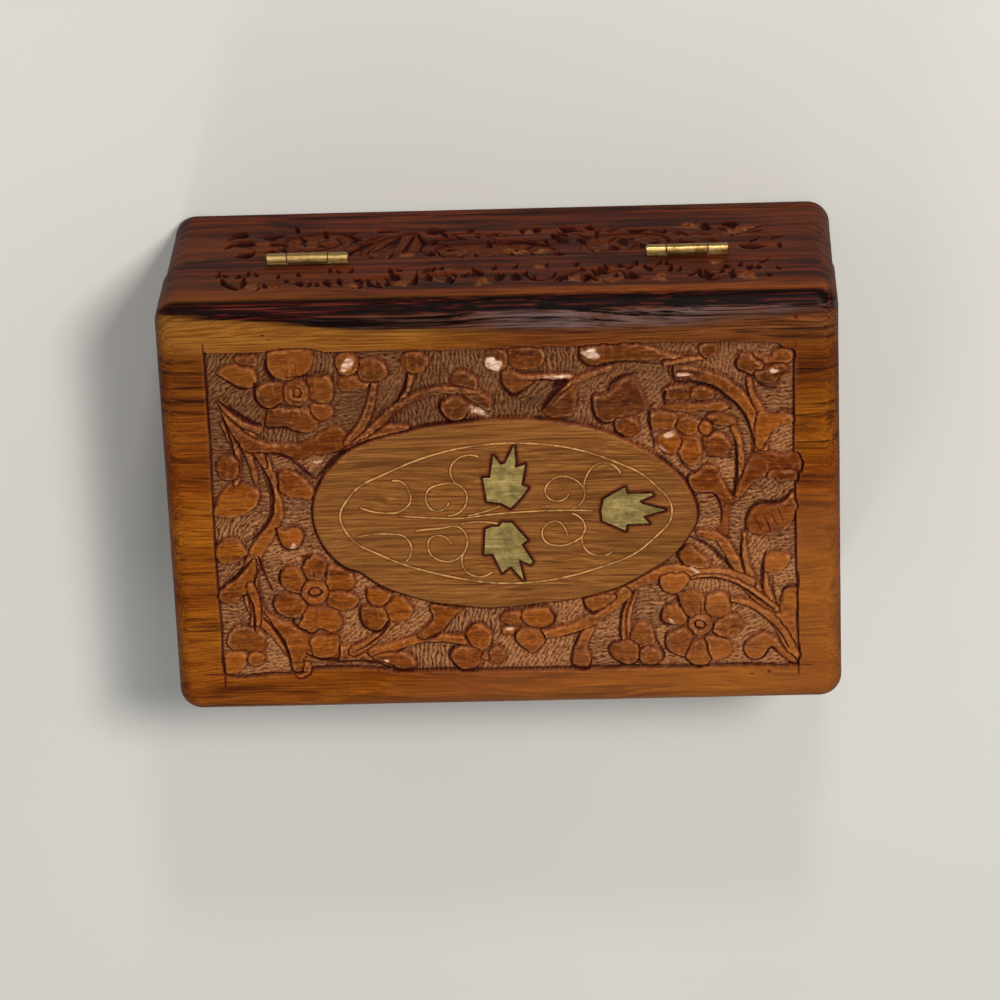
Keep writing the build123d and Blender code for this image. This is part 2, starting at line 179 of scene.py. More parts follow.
    (FORM, [(-10.4, 28.4), (-9.8, 32.4), (-7, 32.8), (-5, 31.6), (-4.6, 29.4), (-5, 27.8), (-8, 27.4)]),
    (STEM, [(-33.6, 15), (-31, 17.2), (-27, 20.8), (-23.2, 24.2), (-19, 26.8), (-14, 28.4), (-9, 28.6),
        (-4.6, 27.6)], 1.9, 1.6),
    (CUT, [(-30.2, 17), (-26.2, 20.6), (-22, 24.4), (-18, 26.6), (-13.5, 27.8)], 0.22, 0.4),
    (FORM, [(-35.4, 14.4), (-31.5, 16.6), (-28, 18.4), (-25.4, 20.2), (-21.2, 20.4), (-20.3, 19.5),
        (-22, 18.2), (-27, 16.9), (-31, 15.3)]),
    (CUT, [(-37.6, 13.6), (-34, 14.4), (-31, 15.1), (-27, 16.7), (-22.5, 18), (-20.4, 18.8)], 0.65, 1.2),
    (CUT, [(-41.8, 7.6), (-40, 9.6), (-38.2, 11.8), (-36.6, 13.2), (-34, 14.2)], 0.5, 1),
    (FORM, [(-7.6, 27.2), (-3.8, 27.4), (-1.5, 26), (-1.9, 23.6), (-3.6, 24), (-5.4, 25.2)]),
    (BEAD, -9.9, 23.9, 3.1, 2.9, {"level": -0.2}),
    (CUT, [(-12.6, 26.6), (-13.4, 24.2), (-12.4, 22.2), (-10.8, 20.9), (-9.4, 20.9)], 0.5, 1.1),
    (FORM, [(2.9, 38.2), (2.5, 35.4), (3.6, 33.6), (6.6, 33.1), (9, 33.5), (10.2, 35), (10.5, 37.8),
        (6.5, 38.6)]),
    (FORM, [(-2.3, 37.2), (-2.2, 33.5), (1.4, 33.3), (2.3, 34.6), (2.1, 37), (0.6, 38.3), (-1.2, 38.2)]),
    (FORM, [(1.4, 32.8), (1, 30.4), (1.9, 28.3), (3.8, 27.3), (5.6, 28.2), (7.4, 29.8), (8.4, 30.8),
        (15.8, 30.6), (16.8, 31.5), (12, 31.9), (6.5, 31.8)]),
    (CUT, [(0.9, 32.4), (0.8, 29.8), (2, 27.6), (3.9, 26.8), (5.8, 27.9)], 0.55, 1.1),
    (CUT, [(7, 30.5), (11, 30.2), (15.8, 30.3)], 0.35, 0.9),
    (FORM, [(16.4, 30), (13.4, 27.5), (10.8, 24.8), (9.9, 22.8), (11.4, 21.1), (14, 20.9), (16.4, 21.8),
        (17.2, 24), (17.4, 27)], {"level": -0.1}),
    (STEM, [(10.6, 24.2), (13.4, 27.4), (16.6, 29.8), (20.4, 31.4), (25, 32.9)], 0.9, 1.3),
    (CUT, [(9.4, 22.8), (11.4, 25.8), (13.6, 28.2), (15.6, 30)], 0.65, 1.3),
    (CUT, [(12.2, 28.4), (13.6, 29.8), (15.2, 30)], 0.8, 1.3),
    (FORM, [(19, 38.4), (18.7, 36.2), (19.6, 34.5), (21.2, 33.7), (25, 34.3), (30, 34.7), (36, 34.9),
        (41, 34.3), (44.4, 34), (43.6, 35.2), (38, 36.2), (35, 37.6), (31, 38.9), (24, 38.8)]),
    (CUT, [(18.4, 38.2), (18.3, 35.6), (19.6, 33.8), (21.4, 33.2)], 0.55, 1.1),
    (CUT, [(21.4, 33.2), (25, 33.8), (29.5, 34.3), (33, 33.9), (38.4, 33.3)], 0.35, 0.8),
    (FORM, [(21.3, 26.2), (21.2, 22.8), (22.2, 20.8), (24, 19.9), (27, 20.8), (30.4, 21.6), (33.2, 23),
        (32.6, 26), (31.6, 28.6), (29.8, 30.6), (27.6, 29.8), (26, 28), (24, 26.6)]),
    (CUT, [(20.8, 26), (20.9, 23.2), (21.6, 20.8), (23.2, 19.5), (25.5, 19.6)], 0.6, 1.3),
    (CUT, [(24.4, 27.6), (25.6, 29.4), (28, 31), (31, 31.6)], 0.6, 1.1),
    (FORM, [(26.2, 20.4), (26, 18.2), (27.4, 16.8), (29.8, 16), (31.4, 17.4), (31.2, 19.8), (29.6, 21),
        (27.4, 21)], {"level": -0.15}),
    (CUT, [(25.6, 20), (26, 17.6), (27.8, 16)], 0.5, 1),
    (STEM, [(37.5, 33.8), (41.5, 34.6), (46, 35.1)], 1.2, 0.9),
    (BEAD, 47.2, 36.9, 2.1, 1.9),
    (STEM, [(39.6, 31.8), (44, 31.2), (48.6, 29.6), (52, 27.2), (54.8, 24.2), (57.2, 20.4), (58.2, 16.2),
        (58.3, 12), (57.4, 8)], 2.6, 3.4),
    (CUT, [(39.1, 33.2), (39, 31.2), (39.6, 29.4), (42, 29.1), (45, 28.7), (48.5, 27.3), (51, 25.1),
        (53.2, 23.2), (54.8, 20.8), (56, 17.6), (56.8, 14.4), (56.6, 10.4)], 0.55, 1.1),
    (FORM, [(46.6, 20.8), (47.4, 18.8), (52.2, 18.6), (52.6, 20),
        (49.8, 21.2)], {"level": -0.15, "line": 0.6}),
    (FORM, [(37, 27.6), (37.4, 25.2), (42.8, 25), (42.7, 27.6), (40, 28.5)], {"level": -0.1}),
    (FORM, [(43.4, 27.2), (43.4, 25), (47.4, 24.8), (48.2, 26.4), (46, 27.8)], {"level": -0.1}),
    (FORM, [(37.4, 23.8), (37.8, 22.2), (47, 22.2), (51.4, 22.4), (50.2, 24),
        (47, 23.9)], {"level": -0.25, "line": 0.6}),
    (FORM, [(34.2, 21.8), (34.1, 18.4), (37.6, 17.9), (39.7, 18.8), (39.3, 21.6)]),
    (FORM, [(45.8, 15.4), (48.6, 16.8), (51, 15.2), (51.7, 13), (50.4, 11.3), (46.4, 11.2)]),
    (FORM, [(40.2, 15), (42, 16.2), (44.4, 15.2), (45.2, 12.6), (44.8, 10), (42.6, 8.9), (40.6, 10.4),
        (39.8, 12.8)]),
    (FORM, [(35.4, 14), (36, 16.6), (39.2, 17.2), (40.4, 15), (39.2, 11.8), (37, 11.6)], {"level": -0.2}),
    (BEAD, 42.3, 18.6, 2.8, 2.3, {"level": -0.05}),
    (BEAD, 46.2, 17.9, 1.5, 1.7, {"level": -0.2, "line": 0.6}),
    (CUT, [(34.6, 24.2), (33.5, 21.4), (33.7, 18.4), (34.3, 15.6), (34.6, 13.2)], 0.5, 1.1),
    (CUT, [(37.3, 27.2), (36.9, 25.8), (37.2, 23.6)], 0.5, 1),
    (CUT, [(39.8, 10.9), (41.2, 8.6), (43.8, 6.8), (46, 8.4)], 0.4, 0.9),
    (STEM, [(52.4, 17.8), (53.6, 14.6), (54, 10), (53.7, 5.6), (52.9, 1.6)], 1.1, 1.5),
    (CUT, [(52.6, 14.6), (52.9, 10), (52.8, 6), (52.5, 3), (52, 0.7)], 0.5, 1.2),
    (CUT, [(46, 10.7), (49, 10.4), (52.4, 10.4)], 0.3, 0.8),
    (FORM, [(54.3, 35.8), (53.3, 33.8), (54, 32), (57, 30.9), (59.2, 32.4), (58.2, 34.4), (56.6, 35.4)]),
    (FORM, [(57, 35.8), (60.6, 34.7), (62.2, 36.4), (64.5, 36.9), (65.9, 35.4), (65.2, 33.6),
        (61.8, 33.6), (59.2, 33.4)]),
    (FORM, [(57.4, 31.4), (60, 31.9), (63.4, 33.2), (64.8, 31.6), (62.6, 29.8), (62.2, 28.4), (60, 28.2),
        (58, 29.4)], {"level": -0.1}),
    (CUT, [(54, 35.4), (53, 33.6), (53.6, 31.8), (55.6, 30.9), (56.6, 29.6)], 0.5, 1.1),
    (CUT, [(57.6, 29.2), (58.8, 27.8), (60.8, 27.2), (62.4, 27.4)], 0.45, 0.9),
    (STEM, [(56, 29.6), (56.5, 26.4), (58.2, 22.4), (60, 19.4)], 1, 2),
    (FORM, [(58, 21.4), (61.6, 20.8), (63.4, 21.6), (65.7, 20.4), (65.7, 18.8), (63.2, 18.4),
        (60.8, 16.4), (58.6, 12.6), (57.2, 14)]),
    (FORM, [(56.2, 10.6), (58.2, 12.2), (62.8, 11), (66.8, 11.4), (67.2, 7), (64, 7.2), (60.4, 6),
        (57.8, 5), (55.6, 3.4), (53.6, 0.6), (52.6, 1.2), (53.8, 5.6)], {"line": 0.5}),
    (FORM, [(42.2, 6.4), (41.9, 4.4), (43.2, 2.4), (46.6, 2.1), (48.4, 0.8), (49.3, -2.6), (49, -6),
        (48, -8.2), (50.2, -9.2), (50.8, -5), (51.2, -2.2), (53.4, 0.6), (52, 0.7), (50.8, 2.4),
        (49.6, 5.2), (48.6, 7.8), (46.2, 9), (44.4, 7.4)]),
    (CUT, [(42.1, 6.6), (41.9, 4.4), (43, 2.4), (45, 2), (46.8, 2), (48, 1.4), (48.9, -0.4), (49.4, -2.8),
        (49.2, -5.4)], 0.42, 1),
    (STEM, [(44.5, -8), (48.4, -9), (50.6, -12), (52.2, -15.6), (53.6, -19.2), (57, -23.4),
        (60.5, -26.6)], 1.8, 3.2),
    (FORM, [(55.2, -4.6), (56.4, -2.2), (58.4, -1.1), (61.6, -0.9), (63.6, 0.2), (65.4, 1.7),
        (66.3, -1.6), (65.4, -4.6), (64.6, -6.4), (62.8, -7.8), (60.6, -8.5), (57.8, -8.7), (55.6, -7.9),
        (55, -6.2)]),
    (CUT, [(65.4, 2.2), (63.8, 0.3), (61.6, -0.8), (58.2, -0.9), (56.2, -2), (54.9, -4.4),
        (54.5, -8.2)], 0.5, 1.1),
    (CUT, [(56.6, -4), (57.6, -5.8), (58.4, -7.6)], 0.22, 0.45),
    (CUT, [(58.8, -3.4), (59.6, -5.4), (60.4, -7.7)], 0.22, 0.45),
    (CUT, [(60.2, -2.4), (61, -4.4), (62.1, -6.4)], 0.22, 0.45),
    (CUT, [(62, -1.8), (62.6, -3.4), (63.2, -5)], 0.2, 0.4),
    (STEM, [(54.4, -8.4), (54.4, -13), (55.3, -18), (57.2, -22.6)], 0.9, 1.8),
    (CUT, [(53.9, -9.4), (53.5, -12), (53.8, -15.6), (54.5, -18.6)], 0.35, 0.9),
    (STEM, [(58.7, -18.2), (59.3, -22.4), (61, -27)], 1.1, 1.6),
    (FORM, [(59.4, -13.6), (62, -13.2), (64.4, -13.8), (64.5, -15.6), (63.2, -17.2), (60.6, -18.2),
        (58.9, -17.8), (58.7, -15.8)]),
    (CUT, [(59.4, -12.8), (58.6, -15.2), (58.4, -18.2), (58.4, -22.6)], 0.42, 1),
    (FORM, [(59.4, 5.8), (60.4, 4.8), (61.4, 5.6), (62.6, 4), (64.2, 4.6), (66.2, 4.4), (66.3, 6.8),
        (61, 7.4)], {"line": 0.4}),
    (FORM, [(62.9, -24.4), (63.3, -22.7), (65.9, -22.2), (66, -30), (66, -40.6), (64.4, -38.6),
        (63.4, -35.6), (60.9, -31.2), (60, -29.6), (61.8, -28)]),
    (CUT, [(60.6, -19), (60.8, -23), (61.6, -26.6), (62.4, -28.4)], 0.3, 0.7),
    (CUT, [(66.3, -18), (66.3, -21.6), (64, -22), (62.8, -23.2), (62.2, -26)], 0.4, 0.9),
    (FORM, [(42, -10.8), (40.3, -12.2), (39.9, -13.8), (40.5, -15.4), (41.6, -16.3), (44.4, -17.4),
        (46, -16.9), (46.2, -15), (45.2, -13.6), (43.6, -12.4)]),
    (CUT, [(41.4, -10.6), (39.8, -12.2), (39.2, -13.8), (40, -15.6), (41, -16.2)], 0.45, 1),
    (CUT, [(42, -9), (45.4, -10.6), (48, -13), (50.4, -15.8), (52.4, -18.2)], 0.6, 1.2),
    (STEM, [(19.6, -24.6), (26, -21.6), (32, -19), (38, -17), (44, -18), (50, -18.3),
        (55.4, -20.4)], 2.6, 2.6),
    (STEM, [(41.5, -19.2), (47, -18.6), (52, -20), (57, -23.4), (61.2, -27.4)], 0.9, 1.6),
    (CUT, [(40.6, -20.2), (43, -19.4), (47, -19.2), (50.5, -20.1), (54, -21.9), (57.6, -24.6),
        (60.9, -27.6)], 0.5, 1.1),
    (STEM, [(51, -24.9), (54.5, -25.5), (58, -27.6), (61, -30.6), (63.4, -34.4), (65.2, -39.2)], 0.9, 2.6),
    (CUT, [(51.2, -25.8), (55, -26.8), (58, -28.9), (60.6, -31.2), (62.6, -34), (64, -36.8)], 0.35, 0.9),
    (FORM, [(58.2, -33.2), (56, -34.6), (54.3, -36.2), (54, -38), (55.2, -39.7), (57.6, -39.7),
        (59, -38.2), (60, -36.9), (62, -38.8), (65, -41.3), (66, -40.8), (63.4, -38), (60.6, -34.6)]),
    (CUT, [(54, -35.8), (53.7, -37.6), (54.8, -39.6), (56.6, -40.2), (58.4, -39.4), (59.6, -37.6),
        (60.4, -37), (62, -39), (64.4, -41), (66.2, -41.4)], 0.42, 1),
    (FORM, [(35.2, -18.8), (37.6, -17.8), (41, -18), (41.8, -19.4), (40.4, -21.6), (38.4, -23),
        (36.4, -22.5), (35.1, -20.8)]),
    (CUT, [(35, -19), (34.9, -21), (36.4, -22.8), (38.2, -23.2)], 0.4, 0.9),
    (FORM, [(36.2, -33.6), (38.2, -32.2), (40.8, -31.8), (42.2, -33.6), (41.8, -36), (40.2, -38.7),
        (37.6, -38.2), (36, -36.2)]),
    (FORM, [(45.2, -34.2), (47.4, -33.8), (50, -34.6), (51.2, -36.6), (50.4, -39.1), (48, -39.9),
        (46.2, -39.4), (45.2, -37.2)]),
    (FORM, [(42.6, -35), (44.8, -35), (45.4, -37.6), (46.1, -40), (44.6, -41.1), (42.2, -40.9),
        (40.7, -39.2), (41.4, -37)]),
    (FORM, [(35.4, -28.6), (36.2, -26.4), (38.4, -25.6), (39.8, -26.4), (40.9, -28.6), (40.3, -30.9),
        (37, -30.6), (35.8, -30)]),
    (FORM, [(40.2, -26.8), (39.6, -24.4), (41.6, -22.6), (43.4, -22.4), (45.1, -24.2), (45, -27.4),
        (44, -28.8), (41.8, -29)]),
    (FORM, [(45.6, -24), (47.4, -23), (49.4, -22.8), (50.8, -24.8), (50.9, -27.6), (49.4, -29.4),
        (46.6, -29.2), (45.4, -27.2)]),
    (FORM, [(48.6, -29.6), (50.4, -28.6), (52.4, -29), (54, -31.2), (52.8, -33.2), (50.6, -34.4),
        (47.8, -33.6), (46.7, -31.6)]),
    (BEAD, 44.1, -30.9, 2.7, 2.6, {"cut": 0.9}),
    (BEAD, 44, -30.9, 1.2, 1, {"level": -0.25, "cut": 0.9}),
    (CUT, [(35.4, -27), (35.1, -29.4), (36.2, -30.8), (38, -31)], 0.5, 1),
    (CUT, [(38.8, -23.4), (39.2, -25.2), (39.6, -26.4)], 0.55, 1.1),
    (CUT, [(36.2, -33), (35.8, -35.4), (36.8, -37.6), (39.4, -39), (40.6, -39.6), (42.2, -41.2),
        (44.6, -41.4), (46.2, -40.6)], 0.38, 1),
    (STEM, [(29.6, -22.6), (28.2, -26.4), (27.6, -30), (27.9, -33.6)], 0.6, 1),
    (STEM, [(28.2, -23.2), (26.8, -27), (26.4, -31), (26.6, -34.6)], 0.7, 0.9),
    (CUT, [(27.4, -24.4), (26.2, -27.5), (25.7, -31), (25.6, -34)], 0.42, 1),
    (FORM, [(28, -34.4), (28.6, -31.4), (30.6, -29.9), (32.6, -30.7), (33.6, -33), (33.2, -35.6),
        (31.2, -36.4), (29, -36.2)]),
    (FORM, [(30.2, -37), (32.4, -36), (34.6, -37.4), (35.2, -39.2), (33.8, -40.7), (31.2, -40.7),
        (30.1, -39.2)]),
    (FORM, [(23.3, -36.6), (24.6, -35.2), (27.4, -34.4), (29.6, -35.8), (29.8, -38.4), (28.2, -40.6),
        (25.6, -40), (23.7, -38.4)]),
    (CUT, [(24.6, -34.8), (23, -36.2), (23.4, -38.4), (25.4, -40.3), (28, -41), (29.8, -39.8)], 0.42, 1),
    (CUT, [(33.2, -32.2), (34.2, -35.2), (35.6, -38.2), (35.2, -40.2)], 0.32, 0.8),
    (STEM, [(7.4, -32.6), (12, -32), (16, -30.9), (20, -28.6), (23.4, -25.8), (27, -22.6)], 2.2, 3),
    (CUT, [(8.6, -34), (12, -33.3), (15, -32.4), (17.6, -31.6)], 0.35, 0.8),
    (FORM, [(17.8, -31.4), (15.8, -34.4), (14.7, -38), (14.8, -40.7), (18, -41), (18.9, -38.4),
        (18.1, -35.8), (19.6, -31.6)]),
    (CUT, [(16.4, -33), (14.9, -36.2), (14.3, -39.6), (14.8, -41), (18.2, -41.3), (19, -39.2)], 0.42, 1),
    (FORM, [(17.9, -23.5), (18.1, -25.6), (19.5, -27.1), (21.6, -26.4), (24.4, -24), (24.6, -23),
        (21, -22.9)]),
    (CUT, [(17.4, -23.4), (17.8, -25.9), (19.4, -27.5), (20.6, -27.2)], 0.5, 1.1),
    (FORM, [(-1.5, -29), (-0.6, -27), (2.2, -26.5), (3.8, -27.5), (3.4, -29.6), (1, -30.2)]),
    (FORM, [(-1.2, -30.9), (1.2, -30.4), (2.6, -31), (1.6, -32.2), (-0.8, -32.4)], {"level": -0.2}),
    (FORM, [(3.6, -26.6), (6, -25.8), (9.4, -26), (10.7, -27.6), (10.4, -29.8), (8.2, -31), (5, -30.3),
        (3.6, -28.8)]),
    (FORM, [(3.8, -30.8), (2, -32.3), (2.1, -34.2), (3.8, -36.1), (5.6, -37.1), (7.4, -35.8),
        (8.4, -34.2), (7.4, -31.8)]),
    (CUT, [(2, -31.2), (1.6, -33.8), (3.2, -35.8), (5.4, -37.4), (7.4, -36.2)], 0.42, 1),
    (CUT, [(9.8, -26.2), (11, -28.2), (10.4, -30.4)], 0.4, 0.9),
    (FORM, [(-9.6, -32.6), (-8.6, -30.5), (-6.2, -29.5), (-4, -31), (-3.6, -33), (-4.6, -35.4),
        (-6.6, -36.2), (-8.6, -34.9)], {"level": -0.1}),
    (FORM, [(-4.2, -36.4), (-2.6, -35.3), (-0.7, -36.8), (-0.9, -38.8), (-2.2, -40),
        (-4.6, -39.4)], {"level": -0.1}),
    (FORM, [(-13.3, -37.8), (-12, -35.7), (-9.8, -35.2), (-7, -36), (-6, -38), (-7.2, -40.5),
        (-10.4, -40.9), (-12.2, -39.8)]),
    (BEAD, -5.3, -38, 0.9, 0.9, {"level": -0.1, "cut": 0.7}),
    (CUT, [(-12.6, -35.2), (-13.6, -37.4), (-12.4, -40), (-10.6, -41.2), (-7, -41.2)], 0.45, 1),
    (CUT, [(-9.6, -31.8), (-8.4, -30.2), (-7.2, -29.4)], 0.4, 0.9),
    (FORM, [(-31.6, -20.4), (-31.7, -22.2), (-30.6, -24.2), (-28.6, -24.4), (-26.7, -22.8),
        (-26.3, -20.8), (-28.6, -20)]),
    (FORM, [(-26, -23.2), (-24, -22.4), (-22.5, -23.3), (-21.5, -25.4), (-22.3, -27.5), (-25, -28.5),
        (-27.4, -27), (-27.6, -24.8)]),
    (FORM, [(-33.2, -24.9), (-33.5, -27.4), (-32.6, -29.7), (-30.6, -30.9), (-28.8, -30.2),
        (-27.2, -28.2), (-28.2, -25.2), (-30.6, -24.7)]),
    (CUT, [(-31.6, -20.2), (-31.9, -22.4), (-30.6, -24.4)], 0.4, 0.9),
    (CUT, [(-34.4, -24.9), (-33.5, -25), (-33.6, -27.6), (-32.6, -30), (-30.4, -31.1), (-28.4, -30.2),
        (-27.2, -28.4)], 0.48, 1.1),
    (CUT, [(-26.6, -28.6), (-28.4, -31), (-31.6, -33.8), (-34.8, -35.6)], 0.3, 0.8),
    (FORM, [(-40.4, -14.6), (-37.8, -14.6), (-35, -16.2), (-34.4, -19), (-36.2, -21),
        (-40.2, -20.4)], {"level": -0.1}),
    (FORM, [(-40, -20.8), (-35.4, -21), (-33.6, -23.2), (-35.4, -25), (-38, -25.8), (-40.4, -24.6),
        (-41, -22.8)], {"level": -0.1}),
    (FORM, [(-45.8, -13.2), (-44.4, -11.7), (-42.2, -11.5), (-40.8, -13), (-40.8, -15.6), (-42.2, -17.8),
        (-44.6, -17.6), (-45.8, -15.4)]),
    (FORM, [(-45.4, -24.6), (-40.4, -24.8), (-38, -26.4), (-37.7, -28.6), (-38.8, -30.4), (-41.2, -30.6),
        (-43.2, -30), (-45, -30.7), (-47.8, -29.1), (-46.6, -27)]),
    (FORM, [(-52.3, -21.6), (-53.2, -23.4), (-52.5, -25.2), (-50.8, -26.5), (-48.4, -27.1), (-46, -24.8),
        (-46.2, -22.2), (-49, -21)]),
    (FORM, [(-51, -15.8), (-49.6, -14.4), (-47.6, -14.4), (-46.2, -16), (-45.6, -18.4), (-46.6, -20.6),
        (-48.8, -20.2), (-50.8, -19.2), (-51.4, -17.4)]),
    (BEAD, -43.6, -20.7, 3, 3, {"cut": 0.6, "line": 0.7}),
    (BEAD, -43.5, -20.6, 1.3, 1, {"level": -0.35, "cut": 0.5, "line": 0.7}),
    (CUT, [(-51, -15.2), (-51.5, -17), (-51.1, -18.8)], 0.45, 1),
    (CUT, [(-45.9, -13.8), (-45.2, -12.2), (-44, -11.6)], 0.45, 1),
    (CUT, [(-52.6, -21.4), (-53.4, -23.4), (-52.6, -25.4), (-50.6, -26.8), (-48.8, -27.2), (-48.8, -28.6),
        (-46.4, -30.4), (-44.6, -31.2), (-42.6, -30), (-40.8, -30.9), (-38.4, -30.8)], 0.42, 1.1),
]
# veins cut outwards from the middle of each flower: x, y, inner and outer radius, count, first angle
FLOWER_VEINS = [
    (44.0, -30.9, 3.0, 6.6, 14, 10), (-43.5, -20.7, 3.3, 6.8, 12, 0), (-45.2, 28.8, 3.3, 7.4, 13, 5),
    (42.3, 18.4, 3.0, 6.4, 10, 0), (-5.3, -38.0, 1.1, 3.4, 6, 20),
]
# x, y, direction of the tool marks in degrees, and 1 where the ground is pricked
GROUND_PATCHES = [
    (-60, 37, 60, 0), (-60, 29, 40, 0), (-57, 24.5, 50, 0), (-50, 18.6, 85, 0), (-63, 15, 4, 0),
    (-63.5, 7, 10, 0), (-57.8, 12, 10, 0), (-54.3, 8, 10, 0), (-54.2, 2, 12, 0), (-56.5, -3, 38, 0),
    (-62.5, -3.5, 65, 0), (-63, -14.5, 45, 0), (-64, -18.5, 20, 0), (-63, -26, 3, 0), (-60.5, -24, 20, 0),
    (-55.6, -19, 10, 0), (-54.5, -25, 20, 0), (-53, -33, 40, 1), (-53.5, -38.5, 8, 1), (-52.8, -9, 20, 1),
    (-52, -15, 20, 0), (-48, -12.5, 10, 1), (-47, 0, 3, 0), (-44, -5, 5, 0), (-41.5, 4, 15, 0),
    (-47, 12, 25, 1), (-47, 7, 5, 0), (-34, 24, 2, 0), (-41, 23.5, 10, 1), (-24, 30, 55, 1),
    (-26, 35, 0, 0), (-14.5, 33, 80, 0), (-9, 36.5, 90, 0), (-14, 30.5, 85, 0), (-20, 21.5, 88, 0),
    (-15, 24, 88, 0), (-2.5, 31, 70, 1), (2, 24, 85, 0), (8, 24, 60, 0), (7, 28, 40, 0), (14, 36, 90, 0),
    (22, 31, 60, 1), (19.5, 26, 40, 1), (18, 22, 80, 1), (35.5, 30, 45, 1), (40, 36.5, 60, 1),
    (50.5, 37, 80, 1), (53, 31, 80, 1), (62, 26, 2, 0), (63.6, 31, 20, 1), (64, 15, 20, 1),
    (60.5, 3, 40, 0), (54.5, 12, 4, 0), (55, 21, 12, 0), (52, 24.5, 30, 0), (51, 7, 8, 1),
    (40.5, 8, 30, 1), (46, -1.5, 3, 0), (46, -5.5, 10, 1), (52.3, -4, 3, 0), (52.5, -13, 3, 0),
    (56.5, 0.5, 15, 0), (57, -12, 60, 1), (62.5, -11, 2, 0), (63.5, -19.5, 8, 1), (61.5, -24, 20, 1),
    (47.5, -14, 40, 1), (46.5, -20.6, 85, 1), (56, -23.5, 20, 1), (55, -30, 30, 1), (33, -25, 8, 0),
    (36.5, -36, 30, 1), (22.5, -31, 20, 1), (22.5, -37, 6, 0), (12.5, -27, 60, 1), (9, -37.5, 60, 1),
    (1, -38.5, 60, 1), (-3, -27.5, 70, 0), (-5, -27, 80, 0), (-13, -29.5, 75, 0), (-20, -27.5, 40, 1),
    (-26, -32.5, 30, 1), (-17, -37.5, 87, 0), (-34.5, -31, 40, 1), (-36.5, -28, 40, 1),
    (-33, -19.5, 30, 1), (-36, -13.5, 40, 1), (-61.5, 21, 5, 0), (36, -21, 20, 0), (60, -40, 10, 1),
    (38.5, -40, 10, 1), (0, 34, 60, 1), (-38.5, 35, 80, 0),
]
# painted glints on polished facets of the carving: x, y, length, width, direction in degrees
PAINTED_GLINT_SPOTS = [
    (-0.8, 34.9, 4.2, 3.2, -40), (-4.6, 23.0, 4.2, 2.2, -20), (20.8, 36.6, 4.4, 2.6, -10),
    (-33.4, 35.4, 3.2, 2.4, 60), (36.6, 12.9, 2.8, 1.1, -30), (38.0, 16.7, 2.6, 1.2, 20),
    (42.8, -17.0, 3.0, 0.9, -30), (37.4, -29.5, 2.2, 1.0, -50), (-41.0, 11.5, 2.6, 0.8, 10),
    (61.7, 31.6, 2.4, 1.0, 0), (-28.0, -38.2, 1.6, 0.8, 0), (12.8, 31.3, 7.0, 0.9, 4),
    (41.5, 31.2, 5.0, 0.8, 0), (-48.0, -9.0, 2.0, 1.0, 60), (0.5, -30.9, 1.6, 0.8, 0),
]
# small dead knots and worm holes in the lid's border: x, y and size
KNOTS = [
    (-70.1, -26.7, 1.3), (-70.5, 16.3, 1.0), (52.1, -45.3, 1.5), (59.7, -43.0, 1.2), (55.6, -43.4, 0.8),
    (66.9, 44.3, 1.2), (-51.9, 43.0, 1.2), (-50.6, 42.0, 0.8), (70.8, -22.4, 1.0), (-71.5, 3.5, 0.9),
]
# knife lines that mark out the panel and the oval and overshoot at corners: points, width, depth
SCRIBE_LINES = [
    ([(-65.4, 41.5), (-65.3, 30), (-65.3, 18.6)], 0.22, 0.25),
    ([(-65.0, -38.5), (-65.2, -41.0), (-65.3, -44.2)], 0.28, 0.35),
    ([(-70.2, -40.7), (-66, -40.9), (-60, -41.0)], 0.24, 0.3),
    ([(66.2, -39), (66.3, -43.8)], 0.26, 0.35),
    ([(64, -41.4), (69.6, -41.3)], 0.18, 0.2),
    ([(66.4, 35), (66.4, 39.6)], 0.16, 0.15),
    ([(-42.8, -5.2), (-40.3, -11.1), (-36.9, -14.7), (-33.4, -16.1), (-29.9, -18.8), (-26.4, -20.8),
      (-20.7, -22.9)], 0.5, 0.5),
    ([(-25, -21.5), (-15.5, -24.4), (-5, -25.8), (2, -25.5), (12.3, -24.5), (18.6, -23.4)], 0.34, 0.4),
]

